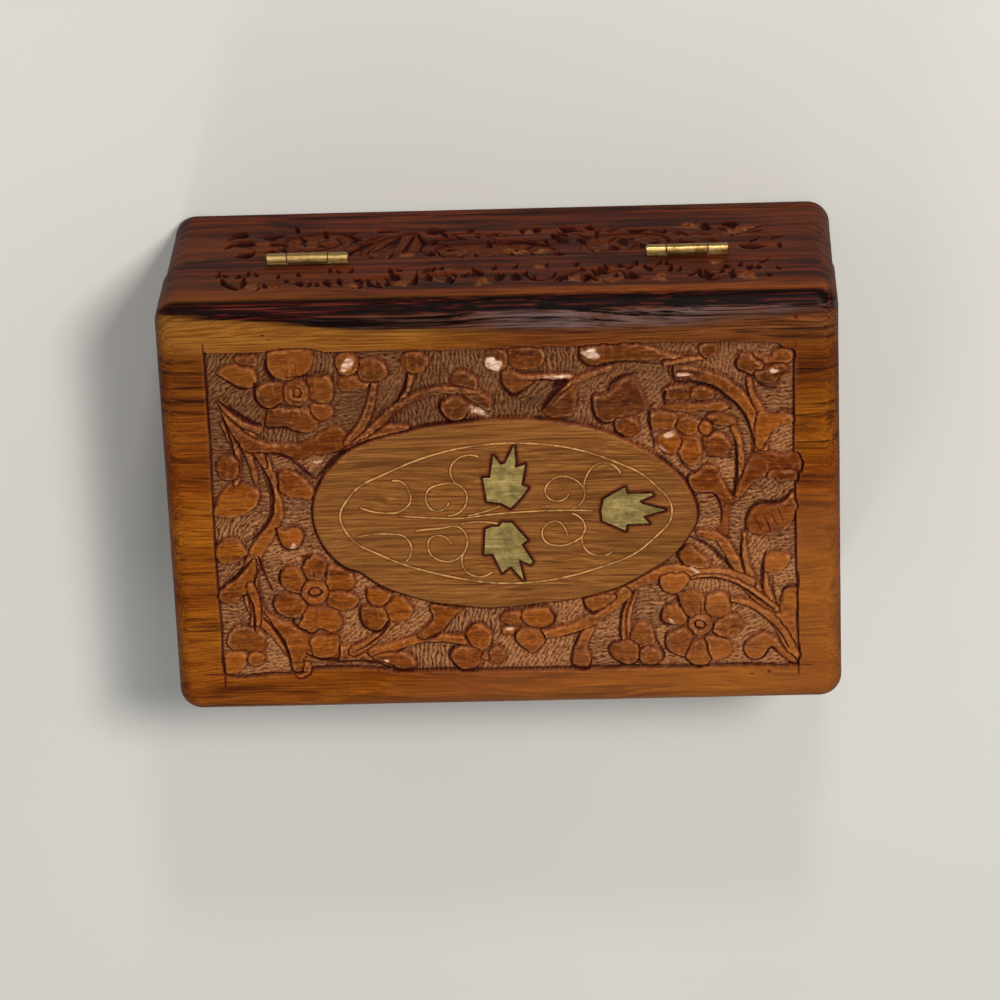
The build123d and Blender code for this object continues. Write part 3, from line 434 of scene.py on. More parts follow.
# chip carving of the walls, laid out along the back wall: x and height z of each cut
BAND_CHIPS = [
    # tip x, z, direction in degrees, length, width
    (-56.8, 48.2, 270, 6.8, 1.5), (-53.2, 49.6, 250, 2.8, 1.5), (-47.3, 49.8, 266, 4.2, 1.8),
    (-44.2, 44.6, 78, 4.2, 1.9), (-42.3, 49.8, 250, 2.8, 1.5), (-38.2, 44.2, 75, 5.2, 1.9),
    (-35.3, 43.2, 82, 5.4, 1.5), (-29.4, 49.6, 196, 2.6, 1.8), (-30.6, 43.2, 98, 3.4, 2.2),
    (-24.2, 49.4, 262, 3.4, 1.6), (-22.4, 46.2, 256, 5.8, 3.0), (-18.4, 49.2, 274, 8.4, 1.3),
    (-15.2, 45.8, 270, 4.6, 1.9), (-12.3, 49.9, 268, 3.8, 2.3), (-10.2, 48.2, 262, 5.6, 2.4),
    (-3.4, 44.6, 248, 5.4, 2.7), (-5.6, 49.9, 282, 3.0, 1.9), (0.4, 47.8, 275, 4.8, 1.8),
    (4.6, 47.8, 265, 5.0, 2.9), (7.4, 49.9, 262, 2.8, 2.3), (13.6, 49.9, 252, 2.6, 2.3),
    (20.0, 49.4, 272, 4.6, 1.5), (25.8, 49.9, 262, 2.8, 2.4), (23.6, 44.0, 262, 3.8, 2.5),
    (30.5, 48.8, 265, 5.0, 3.4), (33.4, 49.9, 262, 4.2, 2.1), (34.2, 44.2, 275, 3.2, 1.8),
    (38.8, 44.8, 275, 4.8, 1.2), (44.6, 49.8, 280, 4.8, 2.0), (47.4, 48.4, 262, 4.4, 3.0),
    (52.6, 49.4, 275, 4.8, 1.6), (51.6, 43.4, 265, 3.4, 2.0), (56.8, 44.6, 262, 3.4, 1.5),
    (58.4, 44.2, 276, 3.2, 1.4), (60.2, 49.8, 268, 6.0, 2.0), (27.8, 41.6, 268, 2.4, 2.2),
    (-55.4, 27.2, 172, 5.2, 3.4), (-55.6, 20.4, 178, 6.2, 3.8), (-57.4, 14.8, 176, 4.6, 3.4),
    (-51.2, 29.0, 262, 5.0, 2.4), (-52.6, 20.8, 2, 5.0, 2.8), (-54.2, 17.2, -24, 5.4, 3.4),
    (-50.2, 25.4, 300, 3.0, 1.6), (-46.4, 14.6, 262, 4.2, 1.6), (-37.6, 29.6, 258, 4.8, 2.2),
    (-34.6, 29.0, 262, 4.6, 2.0), (-44.4, 19.4, 250, 4.0, 1.6), (-39.8, 17.8, 264, 4.6, 1.6),
    (-31.6, 20.4, 236, 4.8, 2.0), (-24.8, 22.4, 292, 6.2, 2.2), (-28.4, 14.2, 8, 5.6, 2.2),
    (-28.6, 31.4, 262, 3.4, 1.6), (-15.6, 24.2, 286, 3.8, 2.2), (-14.8, 20.2, 2, 7.4, 1.9),
    (-17.0, 15.6, -8, 4.8, 3.4), (-15.2, 30.8, 268, 3.4, 2.4), (-9.4, 26.4, 200, 4.0, 1.4),
    (-4.6, 31.6, 258, 3.2, 1.6), (-2.0, 25.6, 262, 4.0, 1.8), (3.2, 31.8, 268, 2.8, 2.0),
    (8.0, 31.6, 262, 2.8, 1.8), (14.0, 32.4, 266, 2.8, 2.2), (2.4, 19.4, 196, 6.0, 1.5),
    (12.2, 18.0, 60, 8.6, 3.2), (18.4, 21.2, 68, 4.4, 2.6), (13.8, 15.0, 24, 5.8, 3.2),
    (4.8, 15.4, 42, 3.2, 1.6), (8.0, 14.4, 62, 3.2, 1.6), (22.0, 16.4, 216, 3.6, 1.6),
    (26.4, 28.8, 262, 3.4, 2.6), (28.2, 21.0, 78, 6.0, 2.8), (29.4, 17.2, 8, 4.8, 2.8),
    (33.6, 28.4, 250, 3.6, 2.8), (36.4, 30.8, 262, 3.4, 1.6), (38.6, 18.6, 178, 4.0, 2.0),
    (42.4, 20.2, 196, 3.4, 1.6), (47.4, 18.8, 262, 4.6, 2.6), (51.0, 14.2, 18, 4.0, 3.2),
    (54.6, 28.8, 4, 6.6, 3.2), (51.4, 29.6, 250, 3.2, 2.0), (50.2, 25.6, 200, 4.0, 1.5),
]
BAND_CUTS = [
    ([(-61.6, 42.6), (-60.8, 45.6), (-58.6, 48.2), (-57, 48.8)], 0.9, 1.2),
    ([(-28.8, 43.4), (-28.4, 46.2), (-27, 48.2), (-24.8, 48.8)], 0.7, 1.0),
    ([(-17.6, 44.6), (-15, 46.0), (-12.6, 47.0)], 0.6, 1.0),
    ([(14.5, 48.8), (14.8, 46.2), (16.8, 44), (18.6, 42.4), (19.2, 41)], 0.6, 1.1),
    ([(20.6, 44.8), (21.8, 47.4), (24.4, 48.6)], 0.6, 1.0),
    ([(45.4, 45.2), (46.2, 47.8), (48.6, 49.2), (51.2, 48.2)], 0.7, 1.1),
    ([(6.4, 43), (7.6, 46.2), (10, 47.8), (12.6, 46.4), (13.4, 43.4)], 0.5, 0.9),
    ([(-34.4, 30.4), (-33.4, 27), (-31.2, 23.6), (-29.2, 21.0)], 0.9, 1.2),
    ([(-28.4, 26.4), (-26, 22.8), (-24.8, 19.6)], 0.6, 1.0),
    ([(-21.8, 27), (-20.6, 21.6), (-19.6, 16.4)], 0.7, 1.1),
    ([(-18.0, 27.4), (-17.2, 22.2), (-18.6, 16.6)], 0.6, 1.0),
    ([(-13.8, 26.8), (-12.6, 29.6), (-10, 31.0), (-7.6, 29.4)], 0.6, 1.0),
    ([(0, 21.6), (4.6, 22.4), (8.6, 23.8), (12, 25.4)], 0.8, 1.1),
    ([(38.4, 29.6), (41, 26.6), (45.6, 25.2), (50.2, 23.4)], 0.6, 0.9),
    ([(50.6, 21.6), (54.6, 20.8), (59.4, 17.0)], 0.6, 1.0),
    ([(-46.6, 23.4), (-42.4, 24.6), (-37.6, 22.6), (-35.2, 18.8)], 0.5, 0.8),
]
BAND_FACETS = [
    [(-56.2, 48.4), (-53.6, 48.8), (-53, 45.2), (-54.6, 44.4)],
    [(-51.8, 48.8), (-48.4, 49.2), (-48.2, 47.2), (-50, 46.8)],
    [(-33.6, 49.0), (-30.8, 49.2), (-30.4, 47.2), (-32.8, 47.0)],
    [(-23.2, 48.8), (-19.4, 49.2), (-19.2, 46.2), (-21.2, 45.6)],
    [(-4.4, 49.6), (-0.6, 49.0), (-1.4, 45.6), (-3.6, 45.4)],
    [(15.2, 48.4), (19.2, 49.0), (19.0, 45.0), (17.2, 44.4)],
    [(21.8, 49.4), (24.6, 49.6), (24.0, 47.4), (22.4, 47.2)],
    [(34.8, 49.0), (38.2, 49.6), (38.4, 45.4), (36.6, 44.4)],
    [(41.0, 49.8), (43.8, 49.8), (43.4, 46.8), (41.2, 47.4)],
    [(53.6, 48.8), (58.8, 49.6), (58.2, 46.0), (55.8, 44.4)],
    [(-11.6, 39.4), (-9.9, 40.8), (-8.2, 39.4), (-9.9, 39.0)],
    [(7.8, 38.8), (9.6, 41.2), (11.4, 38.8), (9.6, 38.4)],
    [(47.6, 38.4), (49.2, 41.2), (50.9, 38.4), (49.2, 38.0)],
    [(-46.4, 27.6), (-41.2, 28.4), (-38.8, 25.6), (-44.8, 24.8)],
    [(-22.8, 29.6), (-19.4, 29.8), (-19.0, 27.6), (-21.6, 26.8)],
    [(8.2, 29.4), (12.2, 29.8), (12.0, 27.2), (9.4, 26.4)],
    [(3.0, 17.6), (7.2, 18.4), (10.4, 16.8), (6.2, 15.6)],
    [(38.6, 28.6), (46.2, 28.8), (48.4, 26.4), (41.4, 26.6)],
    [(40.6, 16.6), (45.4, 17.6), (46.2, 14.0), (42.4, 13.2)],
    [(51.2, 21.2), (55.2, 20.0), (59.2, 16.4), (53.2, 16.8)],
]
BAND_FORMS = [
    [(-61.8, 43.6), (-60.8, 47.6), (-59.2, 49.8), (-57.2, 49.6), (-56.4, 46.6), (-57.4, 43.8),
        (-59.6, 42.8)],
    [(-29.8, 43.8), (-29.4, 47.2), (-27.4, 49.4), (-25.0, 49.0), (-24.2, 46.4), (-25.4, 43.6)],
    [(-14.4, 42.4), (-14.2, 45.6), (-12.0, 47.4), (-9.8, 46.2), (-9.2, 43.2), (-11.6, 41.6)],
    [(7.2, 43.6), (7.6, 47.2), (9.8, 49.8), (12.6, 49.0), (14.0, 46.0), (13.0, 42.6), (9.8, 41.8)],
    [(22.2, 44.2), (23.4, 47.6), (26.2, 49.4), (28.6, 47.4), (28.2, 43.6), (25.2, 42.4)],
    [(29.2, 44.0), (29.8, 47.6), (31.8, 49.8), (33.6, 47.8), (33.4, 43.8), (31.2, 42.0)],
    [(45.2, 46.0), (46.2, 49.0), (48.8, 50.0), (51.2, 48.8), (51.0, 46.2), (48.2, 44.8)],
    [(-47, 21.6), (-44.6, 23.4), (-41.8, 22.6), (-41.4, 20.2), (-43.6, 18.8), (-46.4, 19.4)],
    [(-41.2, 19.4), (-38.8, 20.8), (-36.6, 19.4), (-36.8, 17.0), (-39.2, 16.2), (-41.0, 17.2)],
    [(-29.8, 26.8), (-27.6, 30.2), (-24.4, 30.6), (-23.2, 27.6), (-25.4, 24.6), (-28.4, 24.0)],
    [(-12.6, 28.4), (-9.8, 30.2), (-6.8, 28.8), (-7.4, 26.2), (-10.6, 25.6)],
    [(1.2, 28.2), (3.6, 30.2), (6.4, 28.8), (6.2, 26.0), (3.4, 25.0), (1.4, 26.2)],
    [(20.6, 27.2), (22.6, 29.4), (25.2, 28.2), (25.0, 25.0), (22.2, 23.8), (20.6, 25.0)],
    [(30.6, 24.6), (33.6, 25.8), (36.4, 24.2), (35.6, 21.6), (32.4, 20.8), (30.8, 22.2)],
]
BAND_HOLLOWS = [
    [(-47.8, 28.6), (-40, 29.4), (-34.8, 25.4), (-33.6, 17.6), (-38, 14.6), (-47.4, 16.4), (-49.2, 22.6)],
    [(-30.6, 30.6), (-20, 31), (-17.6, 24), (-18.8, 16), (-24, 17.2), (-30.2, 23.4)],
    [(-13.8, 31.2), (-6, 31.6), (0.4, 30.6), (8.8, 30.8), (13.2, 28.6), (9.6, 24.6), (-1.2, 22.8),
        (-13.2, 24.4)],
    [(19.4, 30.2), (27.2, 30), (37.4, 27.2), (37.6, 20.8), (30.4, 19), (21.2, 20.4), (18.8, 25.2)],
]
# ---------------------------------------------------------------- curves and noise

def smooth_path(points, closed=False, steps=6):
    """A Catmull-Rom curve through given points."""
    p = np.array(points, float)
    if closed:
        p = np.vstack([p[-1], p, p[:2]])
    else:
        p = np.vstack([2 * p[0] - p[1], p, 2 * p[-1] - p[-2]])
    t = (np.arange(steps) / steps)[:, None]
    spans = []
    for i in range(1, len(p) - 2):
        a, b, c, d = p[i - 1:i + 3]
        cubic = 3 * b - a - 3 * c + d
        square = 2 * a - 5 * b + 4 * c - d
        spans.append(0.5 * (2 * b + (c - a) * t + square * t**2 + cubic * t**3))
    curve = np.vstack(spans)
    return curve if closed else np.vstack([curve, p[-2]])


def value_noise(x, y, scale, seed):
    """Smooth random values from 0 to 1 that change over the given length."""
    size = 64
    table = np.random.default_rng(seed).random((size, size))
    u, v = x / scale + size / 2, y / scale + size / 2
    i, j = np.floor(u).astype(int), np.floor(v).astype(int)
    fu, fv = u - i, v - j
    fu, fv = fu * fu * (3 - 2 * fu), fv * fv * (3 - 2 * fv)
    low = table[i % size, j % size] * (1 - fu) + table[(i + 1) % size, j % size] * fu
    high = table[i % size, (j + 1) % size] * (1 - fu) + table[(i + 1) % size, (j + 1) % size] * fu
    return low * (1 - fv) + high * fv


def path_distance(x, y, path, closed=False):
    """Distance to a path, and how far along it, from 0 to 1, the nearest point lies."""
    starts = path if closed else path[:-1]
    ends = np.roll(path, -1, axis=0) if closed else path[1:]
    nearest, along = np.full(x.shape, np.inf), np.zeros(x.shape)
    for k, (start, end) in enumerate(zip(starts, ends)):
        dx, dy = end - start
        t = np.clip(((x - start[0]) * dx + (y - start[1]) * dy) / (dx * dx + dy * dy + 1e-12), 0, 1)
        d = (x - start[0] - t * dx)**2 + (y - start[1] - t * dy)**2
        closer = d < nearest
        nearest = np.where(closer, d, nearest)
        along = np.where(closer, (k + t) / len(starts), along)
    return np.sqrt(nearest), along


def outline_distance(x, y, path):
    """Distance to a closed outline, below zero inside it."""
    distance = path_distance(x, y, path, closed=True)[0]
    inside = np.zeros(x.shape, bool)
    for (ax, ay), (bx, by) in zip(path, np.roll(path, -1, axis=0)):
        if ay != by:
            inside ^= ((ay > y) != (by > y)) & (x < (bx - ax) * (y - ay) / (by - ay) + ax)
    return np.where(inside, -distance, distance)


def ragged(x, y):
    """The wandering of a hand-cut outline, in mm."""
    return 0.42 * (value_noise(x, y, 1.5, 5) - 0.5) + 0.2 * (value_noise(x, y, 0.7, 6) - 0.5)


# ---------------------------------------------------------------- relief

EDGE_ROUNDING = 0.7  # how far in from its edge a form is rounded
FACET_SLANT = 0.7  # greatest drop of a form's slanted top
STOP_CUT, STOP_CUT_REACH = 0.2, 2.4  # depth of the cut round a form, and its reach in widths of the wall
LINE_WIDTH = 0.19  # half width of the dark line round a form


class Relief:
    """One carved face: heights on a lattice, and how each place was worked.

    ground is chiselled background, groove a stained cut, field smooth and pale, formed a raised shape,
    tone its own shade, and bare_and_glint marks unstained facets and painted glints. phase counts the
    chisel's strokes across the ground, and pricked is 1 where its marks are fine dots."""

    def __init__(self, u_lines, v_lines):
        self.u, self.v = np.array(u_lines), np.array(v_lines)
        self.blocks = (len(self.u) - 1) // BLOCK, (len(self.v) - 1) // BLOCK
        self.x, self.y = np.meshgrid(self.u, self.v, indexing="ij")
        layers = [np.zeros(self.x.shape) for _ in range(9)]
        self.height, self.ground, self.groove, self.field, self.tone = layers[:5]
        self.phase, self.pricked, self.formed, self.bare_and_glint = layers[5:]

    def window(self, path, margin):
        low, high = path.min(0) - margin, path.max(0) + margin
        i = np.searchsorted(self.u, [low[0], high[0]])
        j = np.searchsorted(self.v, [low[1], high[1]])
        return slice(i[0], i[1]), slice(j[0], j[1])

    def turned(self, w, x, y, turn):
        """Places in a window as seen from (x, y), along a direction and across it."""
        dx, dy = self.x[w] - x, self.y[w] - y
        return dx * math.cos(turn) + dy * math.sin(turn), dy * math.cos(turn) - dx * math.sin(turn)

    def sink(self, points, depth, wall=0.3):
        """Lowers the ground inside an outline."""
        path = smooth_path(points, closed=True, steps=3)
        w = self.window(path, 2)
        d = outline_distance(self.x[w], self.y[w], path)
        inside = np.clip(0.5 - d / wall, 0, 1)
        self.height[w] = np.minimum(self.height[w], -depth * inside)
        self.ground[w] = np.maximum(self.ground[w], inside)
        self.groove[w] = np.maximum(self.groove[w], 0.95 * np.exp(-((d + 0.1) / 0.25)**2))

    def place(self, w, d, top, cut, line, wall=0.32):
        """Puts a raised form down where d is below zero, with a steep wall and a stop cut round it."""
        height, ground, groove = self.height[w], self.ground[w], self.groove[w]
        top = top - 0.3 * np.clip(1 + d / EDGE_ROUNDING, 0, 1)**2
        fall = np.clip(d / wall, 0, 1)
        to_ground = np.minimum(top * (1 - fall) + (height - STOP_CUT) * fall, np.maximum(top, height))
        into_form = np.minimum(height, top - cut * np.sin(np.pi * fall))
        beside = np.where(ground > 0.5, to_ground, into_form)
        rise = (STOP_CUT_REACH - d / wall) / (STOP_CUT_REACH - 1)
        undercut = height - STOP_CUT * ground * np.clip(rise, 0, 1)
        self.height[w] = np.where(d < 0, top, np.where(d < wall, beside, undercut))
        self.ground[w] = np.where(d < wall / 2, 0, ground)
        self.formed[w] = np.maximum(self.formed[w], np.clip(0.5 - d / 0.4, 0, 1))
        line = line * (0.45 + 0.95 * value_noise(self.x[w], self.y[w], 3.1, 23))
        dark = np.clip(line, 0, 1) * np.exp(-((d - wall / 2) / (LINE_WIDTH * (1 + line)))**2)
        self.groove[w] = np.where(d < 0, dark, np.maximum(groove, dark))

    def form(self, points, level=0.0, cut=0.6, line=0.5):
        """A petal, leaf or other raised shape inside a smooth outline, its top cut slightly aslant."""
        path = smooth_path(points, closed=True)
        w = self.window(path, 1.5)
        x, y = self.x[w], self.y[w]
        d = outline_distance(x, y, path) + ragged(x, y)
        middle = path.mean(0)
        chance = value_noise(*(middle * 3.1), 1, 7)
        turn = 4 * math.pi * chance
        across = ((x - middle[0]) * math.cos(turn) + (y - middle[1]) * math.sin(turn)) / 3
        faces = np.abs(across + 0.5 * (value_noise(x, y, 1.7, 8) - 0.5))
        top = level - 0.04 - FACET_SLANT * np.clip(0.5 * (across + faces), 0, 1)
        top -= 0.55 * np.abs(value_noise(x, y, 1.9, 10) - 0.5) + 0.1 * value_noise(x, y, 0.7, 19)
        self.place(w, d, top, cut, line)
        self.tone[w] = np.where(d < 0.1, value_noise(*(middle * 5.3), 1, 17) - 0.5, self.tone[w])

    def bead(self, x, y, x_radius, y_radius, **look):
        turns = np.linspace(0, 2 * np.pi, 12, endpoint=False)
        self.form(np.stack([x + x_radius * np.cos(turns), y + y_radius * np.sin(turns)], -1), **look)

    def stem(self, points, width, end_width, level=0.0, cut=0.6, line=0.5):
        """A raised stem along a path, with a width that changes evenly and a long slanted facet."""
        path = smooth_path(points)
        w = self.window(path, 3)
        x, y = self.x[w], self.y[w]
        d, along = path_distance(x, y, path)
        d = d - 0.5 * (width + (end_width - width) * along) + 0.7 * ragged(x, y)
        top = level - 0.04 - 0.7 * np.abs(value_noise(x, y, 2.1, 14) - 0.5)
        self.place(w, d, top - 0.1 * value_noise(x, y, 0.7, 19), cut, line)
        self.tone[w] = np.where(d < 0.1, 0.35 * (value_noise(x, y, 9, 18) - 0.5), self.tone[w])

    def cut(self, points, width=0.5, depth=0.8, dark=0.9):
        """A knife or gouge cut that starts and ends thin."""
        path = smooth_path(points, steps=5)
        w = self.window(path, 2)
        x, y = self.x[w], self.y[w]
        d, along = path_distance(x, y, path)
        half = width * (0.35 + 0.65 * np.sqrt(np.sin(np.pi * np.clip(along, 0.02, 0.98))))
        half = 1.25 * half * (0.65 + 0.6 * value_noise(x, y, 1.5, 9))
        inside = np.clip(1 - d / half, 0, 1)
        self.height[w] = np.minimum(self.height[w], self.height[w] * (1 - inside) - depth * inside)
        self.groove[w] = np.maximum(self.groove[w], dark * np.clip(2.0 * inside, 0, 1))

    def gouge(self, x, y, angle, length, width, depth=1.2, dark=0.95):
        """A leaf-shaped chip with its tip at (x, y), cut along an angle in degrees: one side steep and
        stained, the other a long clean slope."""
        turn = math.radians(angle)
        reach = np.array([[x, y], [x + length * math.cos(turn), y + length * math.sin(turn)]])
        w = self.window(reach, width + 0.5)
        along, across = self.turned(w, x, y, turn)
        t = np.clip(along / length, 0, 1)
        half = 0.5 * width * np.sin(np.pi * t**0.65)
        half = half * (0.75 + 0.5 * value_noise(self.x[w], self.y[w], 1.4, 13))
        side = across / (half + 1e-6)
        steep = np.clip((1 - side) * 2.2, 0, 1) * np.clip((1 + side) * 0.8, 0, 1)
        inside = np.where((along > 0) & (along < length) & (np.abs(side) < 1), steep, 0)
        self.height[w] = np.minimum(self.height[w], -depth * inside * np.sqrt(half / width * 2))
        self.groove[w] = np.maximum(self.groove[w], dark * np.clip(2.4 * inside - 0.3, 0, 1))

    def painted_glint_spot(self, x, y, length, width, angle):
        """A painted glint: a pale pinkish-white spot standing in for light caught by a polished facet."""
        w = self.window(np.array([[x, y]]), length)
        along, across = self.turned(w, x, y, math.radians(angle))
        d = np.hypot(2 * along / length, 2 * across / width)
        d = d + 0.9 * (value_noise(self.x[w], self.y[w], 0.9, 24) - 0.5)
        self.bare_and_glint[w] = np.maximum(self.bare_and_glint[w], np.clip(2.2 * (1.15 - d), 0, 1))

    def facet(self, points, depth):
        """A shallow flat cut of pale unstained wood that slopes down toward its last point."""
        path = np.array(points, float)
        w = self.window(path, 1)
        x, y = self.x[w], self.y[w]
        d = outline_distance(x, y, path)
        slope = path[-1] - path[0]
        t = ((x - path[0, 0]) * slope[0] + (y - path[0, 1]) * slope[1]) / (slope @ slope)
        inside = np.clip(0.3 - d / 0.3, 0, 1)
        floor = -depth * np.clip(0.25 + 0.75 * t, 0.1, 1)
        self.height[w] = np.where(inside > 0, np.minimum(self.height[w], floor * inside), self.height[w])
        self.ground[w] = np.maximum(self.ground[w], inside)
        self.groove[w] = np.where(inside > 0.5, 0.15 * self.groove[w], self.groove[w])
        self.pricked[w] = np.maximum(self.pricked[w], inside)
        self.bare_and_glint[w] = np.maximum(self.bare_and_glint[w], 0.42 * inside)

    def chisel_ground(self, patches):
        """Tool marks on the ground: parallel strokes or fine pricking, in patches round given points."""
        x, y = self.x, self.y
        near_x = x + 2.2 * (value_noise(x, y, 3, 11) - 0.5)
        near_y = y + 2.2 * (value_noise(x, y, 3, 12) - 0.5)
        nearest, angle = np.full(x.shape, np.inf), np.zeros(x.shape)
        for patch_x, patch_y, degrees, is_pricked in patches:
            d = (near_x - patch_x)**2 + (near_y - patch_y)**2
            closer = d < nearest
            nearest = np.where(closer, d, nearest)
            angle = np.where(closer, math.radians(degrees), angle)
            self.pricked = np.where(closer, float(is_pricked), self.pricked)
        along = x * np.cos(angle) + y * np.sin(angle)
        across = y * np.cos(angle) - x * np.sin(angle)
        across += 0.9 * (value_noise(x, y, 2.2, 21) - 0.5) + 0.5 * (value_noise(along, across, 1.1, 22) - 0.5)
        self.phase = across / TICK_PITCH
        stroke = 1 - np.abs(np.sin(np.pi * self.phase))
        stroke = 0.5 * stroke * (0.3 + 0.9 * value_noise(along, across, 1.4, 31))
        pricks = 0.6 * value_noise(x, y, 0.6, 41) + 0.4 * value_noise(x, y, 1.2, 42)
        pricks = 0.4 * np.clip(pricks - 0.25, 0, 1) + 0.5 * stroke
        marks = np.where(self.pricked > 0.5, pricks, stroke)
        self.height += self.ground * (marks - 0.2)

    def worked(self):
        """The masks for each point: groove, ground, field, crest, tone, phase, pricked and formed."""
        spread = self.height.copy()
        for _ in range(2):
            spread[1:-1, :] = (spread[:-2, :] + spread[1:-1, :] + spread[2:, :]) / 3
            spread[:, 1:-1] = (spread[:, :-2] + spread[:, 1:-1] + spread[:, 2:]) / 3
        # pale ridges: crest is how far the surface stands above its surroundings, for wear and a painted
        # highlight along ridges; above 1 it carries painted glints and unstained facets
        crest = np.clip(4.0 * (self.height - spread), 0, 1) * (0.2 + 0.8 * self.formed)
        crest = crest * (1 - self.bare_and_glint) + 2 * self.bare_and_glint
        # grooves also darken where the surface lies below its surroundings: dirt and painted shade in the
        # recesses
        groove = np.clip(self.groove + np.clip(0.8 * (spread - self.height), 0, 0.35), 0, 1)
        layers = (groove, self.ground, self.field, crest, self.tone, self.phase, self.pricked, self.formed)
        return np.stack(layers, -1).reshape(-1, len(layers))


# ---------------------------------------------------------------- meshes

class Patchwork:
    """Collects faces from several grids and merges their shared edges into one closed mesh."""

    def __init__(self):
        self.points, self.faces, self.worked = [], [], []
        self.count = 0

    def add(self, points, faces, worked=None):
        points = np.asarray(points, float).reshape(-1, 3)
        self.points.append(points)
        self.worked.append(np.zeros((len(points), 8)) if worked is None else worked)
        self.faces += [[i + self.count for i in face] for face in faces]
        self.count += len(points)

    def polygon(self, points):
        self.add(points, [range(len(points))])

    def grid(self, rows):
        """Quads between rows of points, where each row has the same number of points."""
        rows = np.asarray(rows, float)
        n, m = rows.shape[:2]
        index = np.arange(n * m).reshape(n, m)
        quads = np.stack([index[:-1, :-1], index[1:, :-1], index[1:, 1:], index[:-1, 1:]], -1)
        self.add(rows.reshape(-1, 3), quads.reshape(-1, 4).tolist())

    def finish(self, name, shift=None):
        points = np.vstack(self.points)
        if shift is not None:
            points = points + shift(points)
        mesh = bpy.data.meshes.new(name)
        mesh.from_pydata((points * MM).tolist(), [], self.faces)
        worked = np.vstack(self.worked).astype(np.float32)
        for name_of_layer, values in (("carving", worked[:, :4]), ("tooling", worked[:, 4:])):
            layer = mesh.attributes.new(name_of_layer, "FLOAT_COLOR", "POINT")
            layer.data.foreach_set("color", values.ravel())
        for name_of_layer, values in (("crest", worked[:, 3]), ("formed", worked[:, 7])):
            layer = mesh.attributes.new(name_of_layer, "FLOAT", "POINT")
            layer.data.foreach_set("value", values.copy())
        work = bmesh.new()
        work.from_mesh(mesh)
        bmesh.ops.remove_doubles(work, verts=work.verts, dist=2e-6)
        bmesh.ops.recalc_face_normals(work, faces=work.faces)
        work.to_mesh(mesh)
        work.free()
        piece = bpy.data.objects.new(name, mesh)
        bpy.context.scene.collection.objects.link(piece)
        return piece


def smooth_by_angle(piece, degrees=38):
    """Smooth shading with sharp edges kept where faces meet at more than the given angle."""
    mesh = piece.data
    mesh.polygons.foreach_set("use_smooth", [True] * len(mesh.polygons))
    work = bmesh.new()
    work.from_mesh(mesh)
    for edge in work.edges:
        edge.smooth = len(edge.link_faces) == 2 and edge.calc_face_angle(0) < math.radians(degrees)
    work.to_mesh(mesh)
    work.free()


def sheet_faces(relief, left_out=()):
    """Splits a relief into faces: fine quads where it is carved, one coarse face elsewhere.

    A coarse face beside fine ones also takes their points on its edge, so no gap opens."""
    busy = (np.abs(relief.height) > 1e-4) | (relief.groove > 0.02) | (relief.ground > 0.02)
    busy |= np.abs(relief.field - 0.5) < 0.49
    columns, rows = relief.blocks
    fine = np.zeros((columns, rows), bool)
    for a in range(BLOCK + 1):
        for b in range(BLOCK + 1):
            last_a, last_b = a + BLOCK * columns - BLOCK + 1, b + BLOCK * rows - BLOCK + 1
            fine |= busy[a:last_a:BLOCK, b:last_b:BLOCK]
    fine[0, :] = fine[-1, :] = False
    fine[:, 0] = fine[:, -1] = False
    width = rows * BLOCK + 1
    cell_fine = np.kron(fine, np.ones((BLOCK, BLOCK), bool))
    i, j = np.nonzero(cell_fine)
    corner = i * width + j
    quads = np.stack([corner, corner + width, corner + width + 1, corner + 1], -1).tolist()
    padded = np.pad(fine, 1)
    for i, j in zip(*np.nonzero(~fine)):
        if (i, j) in left_out:
            continue
        a, b = i * BLOCK, j * BLOCK
        outline = []
        sides = (
            (padded[i + 1, j], [(a + k, b) for k in range(BLOCK)]),
            (padded[i + 2, j + 1], [(a + BLOCK, b + k) for k in range(BLOCK)]),
            (padded[i + 1, j + 2], [(a + BLOCK - k, b + BLOCK) for k in range(BLOCK)]),
            (padded[i, j + 1], [(a, b + BLOCK - k) for k in range(BLOCK)]),
        )
        for beside_fine, places in sides:
            outline += places if beside_fine else places[:1]
        quads.append([p * width + q for p, q in outline])
    return quads


def used_points(points, faces, *layers):
    """Drops the lattice points that no face uses."""
    used = np.zeros(len(points), bool)
    for face in faces:
        used[face] = True
    number = np.cumsum(used) - 1
    faces = [[int(number[k]) for k in face] for face in faces]
    return (points[used], faces) + tuple(layer[used] for layer in layers)
# ---------------------------------------------------------------- materials

# dark streaks in the lid's border: from x, to x, y and half width
DARK_STREAKS = [
    (-78, -60, 34.4, 0.55), (-78, -57, 27.2, 0.5), (-78, -63, 24.9, 0.4), (-76, -64, 30.6, 0.3),
    (-78, -66, 37.0, 0.4), (60, 78, 23.6, 0.45), (58, 78, 20.8, 0.4), (63, 78, 14.2, 0.35),
    (64, 78, 31.8, 0.35), (52, 78, 41.6, 0.45), (60, 78, 39.4, 0.4), (-78, -70.5, 47.9, 1.7),
    (-78, -71, 45.2, 1.0),
]
STREAK_FADE = 2.5  # length of a streak's thinning ends


def srgb(red, green, blue):
    """A colour given as 0 to 255 display values, as the linear values a shader takes."""
    linear = [((c / 255 + 0.055) / 1.055)**2.4 if c > 10 else c / 255 / 12.92 for c in (red, green, blue)]
    return (*linear, 1.0)


